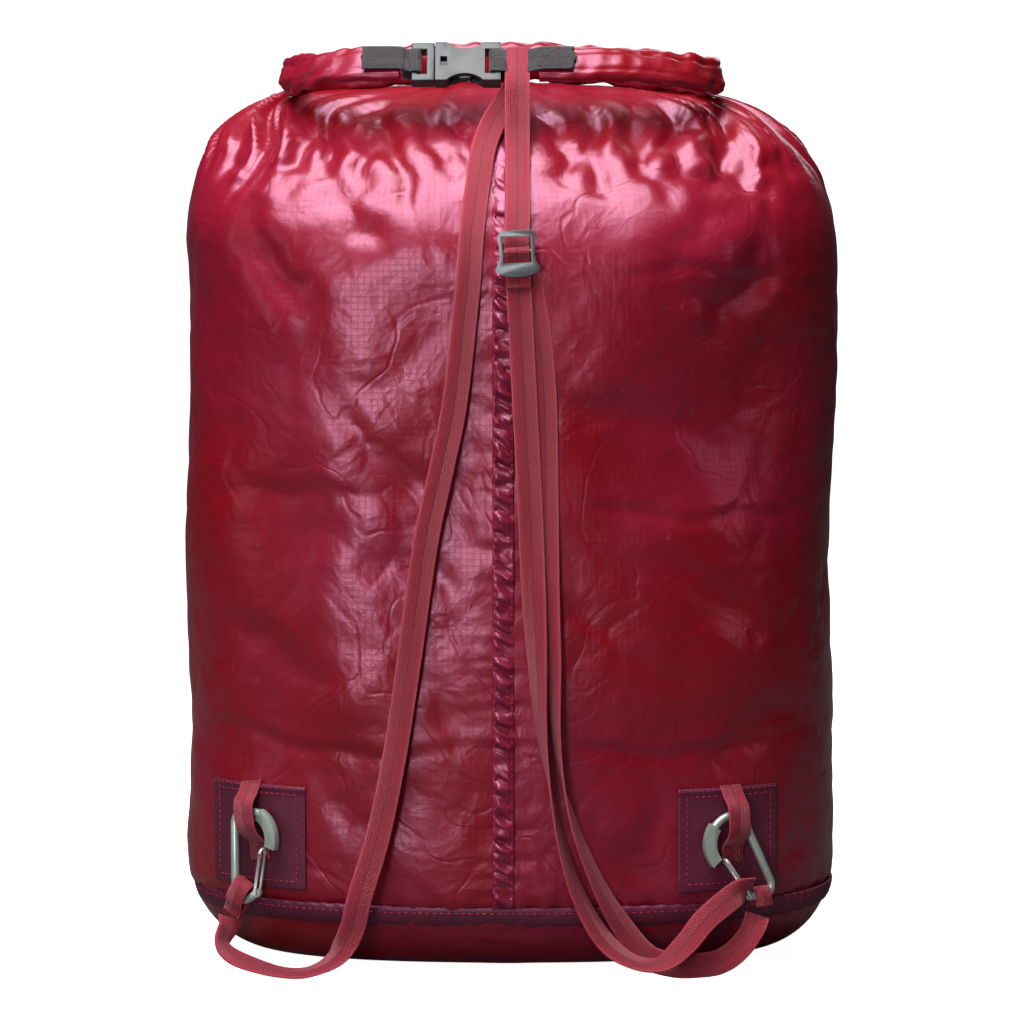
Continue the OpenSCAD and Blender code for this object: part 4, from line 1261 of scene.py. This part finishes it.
def tab_tapes():
    """Black webbing round each bar of the buckle, sewn flat on the collar's arms."""
    frame, width = buckle_frame(), 14.8 * MM
    for side, s, near, far, half_t, laid in TABS:
        out = half_t + 0.55
        points = [(far + s * 4.5, -0.9), (far + s * 1.6, -2.6), (far - s * 0.8, -out), (near - s * 0.2, -out),
                  (near - s * 0.95, -half_t * 0.5), (near - s * 0.95, half_t * 0.5), (near - s * 0.2, out),
                  (far - s * 0.4, out), (far + s * 1.4, out - 0.3)] + laid
        piece, at, across, face = bent_tape("buckle_tape_" + side, frame, [(x, 0, z) for x, z in points],
                                            (0, 1, 0), width, tab_material())
        # the free end is cut to a blunt point
        heading = (at[-1] - at[-4]) / np.linalg.norm(at[-1] - at[-4])
        for v in piece.data.vertices:
            d = np.array(v.co) - at[-1]
            if np.dot(d, heading) > -0.1 * MM:
                v.co = Vector(np.array(v.co) - heading * abs(np.dot(d, across[-1])) * 0.55)
        finish(piece, "sack", ("buckle_tab_" + side,))
        if face[-1][2] < 0:
            face = -face
        last = len(at) - 5
        sewn_box("buckle_tape_stitches_" + side, at, across, face, "sack", last - 9, last, width,
                 dark_thread_material(), 0.6 * MM)


def strap_ends():
    """The sewn eye on the left carabiner, the turn over the right one and the wrap of the slider."""
    webbing, width = webbing_material(), 10.6 * MM
    cos, sin = math.cos(math.radians(EYE_LEAN)), math.sin(math.radians(EYE_LEAN))
    eye = (left_frame() @ Matrix.Translation((FOOT[0] + FOOT_R * cos, 0, FOOT[1] - FOOT_R * sin))
           @ turned(0, EYE_LEAN, 0))
    upper = [(9.6, 0.65), (6.4, 0.7), (3.6, 2.0), (0.8, 3.5), (-3.2, 3.9), (-7.2, 3.5), (-9.6, 1.4)]
    loop = [(x, y, 0.8) for x, y in upper] + [(x, -y, 0.8) for x, y in reversed(upper)]
    piece, at, across, face = bent_tape("strap_eye", eye, loop, (0, 0, 1), width, webbing)
    finish(piece, "carabiner_left", ("strap_left_end_loop",))
    if face[-1][1] > 0:
        face = -face
    last = len(at) - 1
    sewn_box("strap_eye_stitches", at, across, face, "carabiner_left", last - 11, last - 1, width,
             dark_thread_material(), 0.6 * MM)
    bend = right_frame() @ Matrix.Translation((0.8, 0, -44.3)) @ turned(0, BEND_LEAN, 0)
    rear = [(0, -4.0, -5.2), (0, -4.0, -2.5), (0, -4.0, 0), (0, -2.9, 2.8)]
    over = rear + [(0, 0, 4.0)] + [(0, -y, z) for _, y, z in reversed(rear)]
    piece = bent_tape("strap_turn", bend, over, (1, 0, 0), 8.6 * MM, webbing)[0]
    finish(piece, "carabiner_right", ("strap_right_bend",))
    wrap = [(0, 1.75, -17), (0, 1.8, -12), (0, 1.8, -6), (0, 1.8, -1.5)]
    wrap += [(0, 1.8 * math.cos(math.radians(a)), 1 + 1.8 * math.sin(math.radians(a))) for a in range(0, 271, 30)]
    wrap += [(0, 0.6, -2.6), (0, 1.15, -5)]
    piece = bent_tape("slider_wrap", slider_frame(), wrap, (1, 0, 0), 12.4 * MM, webbing, 1.0 * MM)[0]
    finish(piece, "slider", ("strap_slider_wrap",))


class SACK_OT_hardware(bpy.types.Operator):
    """Build the carabiners, the slider, the buckle and the short sewn tapes on them"""
    bl_idname = "sack.hardware"
    bl_label = "Hardware"

    def execute(self, context):
        colors = context.scene.sack_metal
        bar = anodised("Anodised bar", list(colors.carabiner), 0.36)
        wire = anodised("Drawn wire", list(colors.wire), 0.24)
        frame_metal = anodised("Anodised slider", list(colors.slider), 0.34)
        plastic = moulded("Moulded plastic", list(colors.buckle))
        for side in ("left", "right"):
            shaped("carabiner_%s_body" % side, bar, "carabiner_" + side, 0.35 * MM, 2)
            shaped("carabiner_%s_gate" % side, wire, "gate_" + side)
        shaped("strap_slider", frame_metal, "slider", 0.55 * MM)
        shaped("buckle_socket", plastic, "sack", 0.7 * MM)
        shaped("buckle_plug", plastic, "sack", 0.6 * MM)
        for prong in ("prong_upper", "prong_lower"):
            shaped("buckle_" + prong, plastic, prong, 0.5 * MM)
        corner_loops()
        tab_tapes()
        strap_ends()
        return {"FINISHED"}


# ------------------------------------------------------------------ stage, lights and camera


# name, place, the point it faces, width and height, and power in watts
LIGHTS = [
    ("key", (-0.52, -1.75, 0.5), (-0.02, 0, 0.25), (0.3, 1.0), 11),
    ("side", (-1.5, -0.7, 0.5), (0, 0, 0.22), (0.4, 0.9), 1.2),
    ("fill", (1.4, -0.9, 0.7), (0, 0, 0.22), (0.25, 0.9), 1.0),
    ("top", (-0.22, -0.35, 1.4), (-0.05, -0.05, 0.38), (0.8, 1.2), 33),
    ("rear", (0.3, 1.5, 1.1), (0, 0, 0.25), (1.2, 0.9), 8),
]
LENS, SENSOR = 165.5, 36
CAMERA_AIM, CAMERA_DISTANCE, CAMERA_TILT = (-0.0042, 0, 0.230), 2.414, 6.23


def set_out(name, data, at, aim):
    """A light or camera at its place, facing its aim."""
    thing = bpy.data.objects.new(name, data)
    bpy.context.collection.objects.link(thing)
    thing.location = at
    thing.rotation_euler = (Vector(aim) - Vector(at)).to_track_quat("-Z", "Y").to_euler()
    return thing


def soft_box(name, at, aim, size, power):
    data = bpy.data.lights.new(name, "AREA")
    data.shape = "RECTANGLE"
    data.size, data.size_y = size
    data.energy = power
    set_out(name, data, at, aim)


def select_back_edges(floor, top):
    """Select the floor's rear edges up to a height, and go into edit mode on them."""
    for edge in floor.data.edges:
        ends = [floor.data.vertices[i].co for i in edge.vertices]
        edge.select = all(e.y > 2.9 and e.z < top for e in ends)
    bpy.ops.object.mode_set(mode="EDIT")


def build_floor():
    """Paper sweep: a flat sheet whose rear edge goes up a wall in a round bend."""
    clear_selection()
    bpy.ops.mesh.primitive_plane_add(size=6, location=(0, 0, -0.0004))
    floor = bpy.context.active_object
    floor.name = "floor"
    bpy.ops.object.mode_set(mode="EDIT")
    bpy.ops.mesh.select_all(action="DESELECT")
    bpy.ops.object.mode_set(mode="OBJECT")
    select_back_edges(floor, 1)
    bpy.ops.mesh.select_mode(type="EDGE")
    bpy.ops.mesh.extrude_region_move(TRANSFORM_OT_translate={"value": (0, 0, 3)})
    bpy.ops.object.mode_set(mode="OBJECT")
    select_back_edges(floor, 0.1)
    bpy.ops.mesh.bevel(offset=1.2, segments=16, affect="EDGES")
    bpy.ops.object.mode_set(mode="OBJECT")
    apply_place(floor)
    bpy.ops.object.shade_smooth()
    floor.data.materials.append(paper_material())


def paper_material():
    """Pale paper that gives the object only a little of its light back."""
    material, tree, shader, coords = start_material("Pale paper")
    tone = noise_tex(tree, coords.outputs["Object"], 3, 2)
    seen = tree.nodes.new("ShaderNodeLightPath").outputs["Is Camera Ray"]
    paper = mix_color(tree, tone, (0.86, 0.86, 0.86), (0.9, 0.9, 0.9))
    tree.links.new(mix_color(tree, seen, (0.12, 0.12, 0.12), paper), shader.inputs["Base Color"])
    shader.inputs["Roughness"].default_value = 0.9
    shader.inputs["Emission Color"].default_value = (1, 1, 1, 1)
    tree.links.new(ramp(tree, seen, 0, 1, 0.0, 0.95), shader.inputs["Emission Strength"])
    return material


class SACK_OT_stage(bpy.types.Operator):
    """Build the floor, the soft lights and the camera"""
    bl_idname = "sack.stage"
    bl_label = "Stage"

    def execute(self, context):
        scene = context.scene
        build_floor()
        world = bpy.data.worlds.new("Studio")
        scene.world = world
        world.use_nodes = True
        background = world.node_tree.nodes["Background"]
        background.inputs["Color"].default_value = (1, 1, 1, 1)
        background.inputs["Strength"].default_value = 0.03
        for light in LIGHTS:
            soft_box(*light)
        lens = bpy.data.cameras.new("camera")
        lens.sensor_width = SENSOR
        lens.lens = LENS
        aim, tilt = Vector(CAMERA_AIM), math.radians(CAMERA_TILT)
        at = aim + Vector((0, -math.cos(tilt), math.sin(tilt))) * CAMERA_DISTANCE
        scene.camera = set_out("camera", lens, at, aim)
        scene.view_settings.view_transform = "Standard"
        return {"FINISHED"}


class SACK_PT_panel(bpy.types.Panel):
    """Buttons that build each part of the sack"""
    bl_idname = "SACK_PT_panel"
    bl_label = "Stuff sack"
    bl_space_type = "VIEW_3D"
    bl_region_type = "UI"
    bl_category = "Stuff sack"

    def draw(self, context):
        for operator in OPERATORS:
            self.layout.operator(operator.bl_idname)


GROUPS = {"sack_body": SackProps, "sack_cloth": ClothProps, "sack_metal": MetalProps}
OPERATORS = [SACK_OT_stage, SACK_OT_straps, SACK_OT_cloth, SACK_OT_seams, SACK_OT_patches, SACK_OT_collar,
             SACK_OT_hardware]


def register():
    for group in GROUPS.values():
        bpy.utils.register_class(group)
    for name, group in GROUPS.items():
        setattr(bpy.types.Scene, name, bpy.props.PointerProperty(type=group))
    for operator in OPERATORS:
        bpy.utils.register_class(operator)
    bpy.utils.register_class(SACK_PT_panel)


def unregister():
    bpy.utils.unregister_class(SACK_PT_panel)
    for operator in reversed(OPERATORS):
        bpy.utils.unregister_class(operator)
    for name, group in GROUPS.items():
        delattr(bpy.types.Scene, name)
        bpy.utils.unregister_class(group)


def main():
    register()
    # the camera and the cords come first
    bpy.ops.sack.stage()
    bpy.ops.sack.straps()
    bpy.ops.sack.cloth()
    bpy.ops.sack.seams()
    bpy.ops.sack.patches()
    bpy.ops.sack.collar()
    bpy.ops.sack.hardware()


if __name__ == "__main__":
    main()
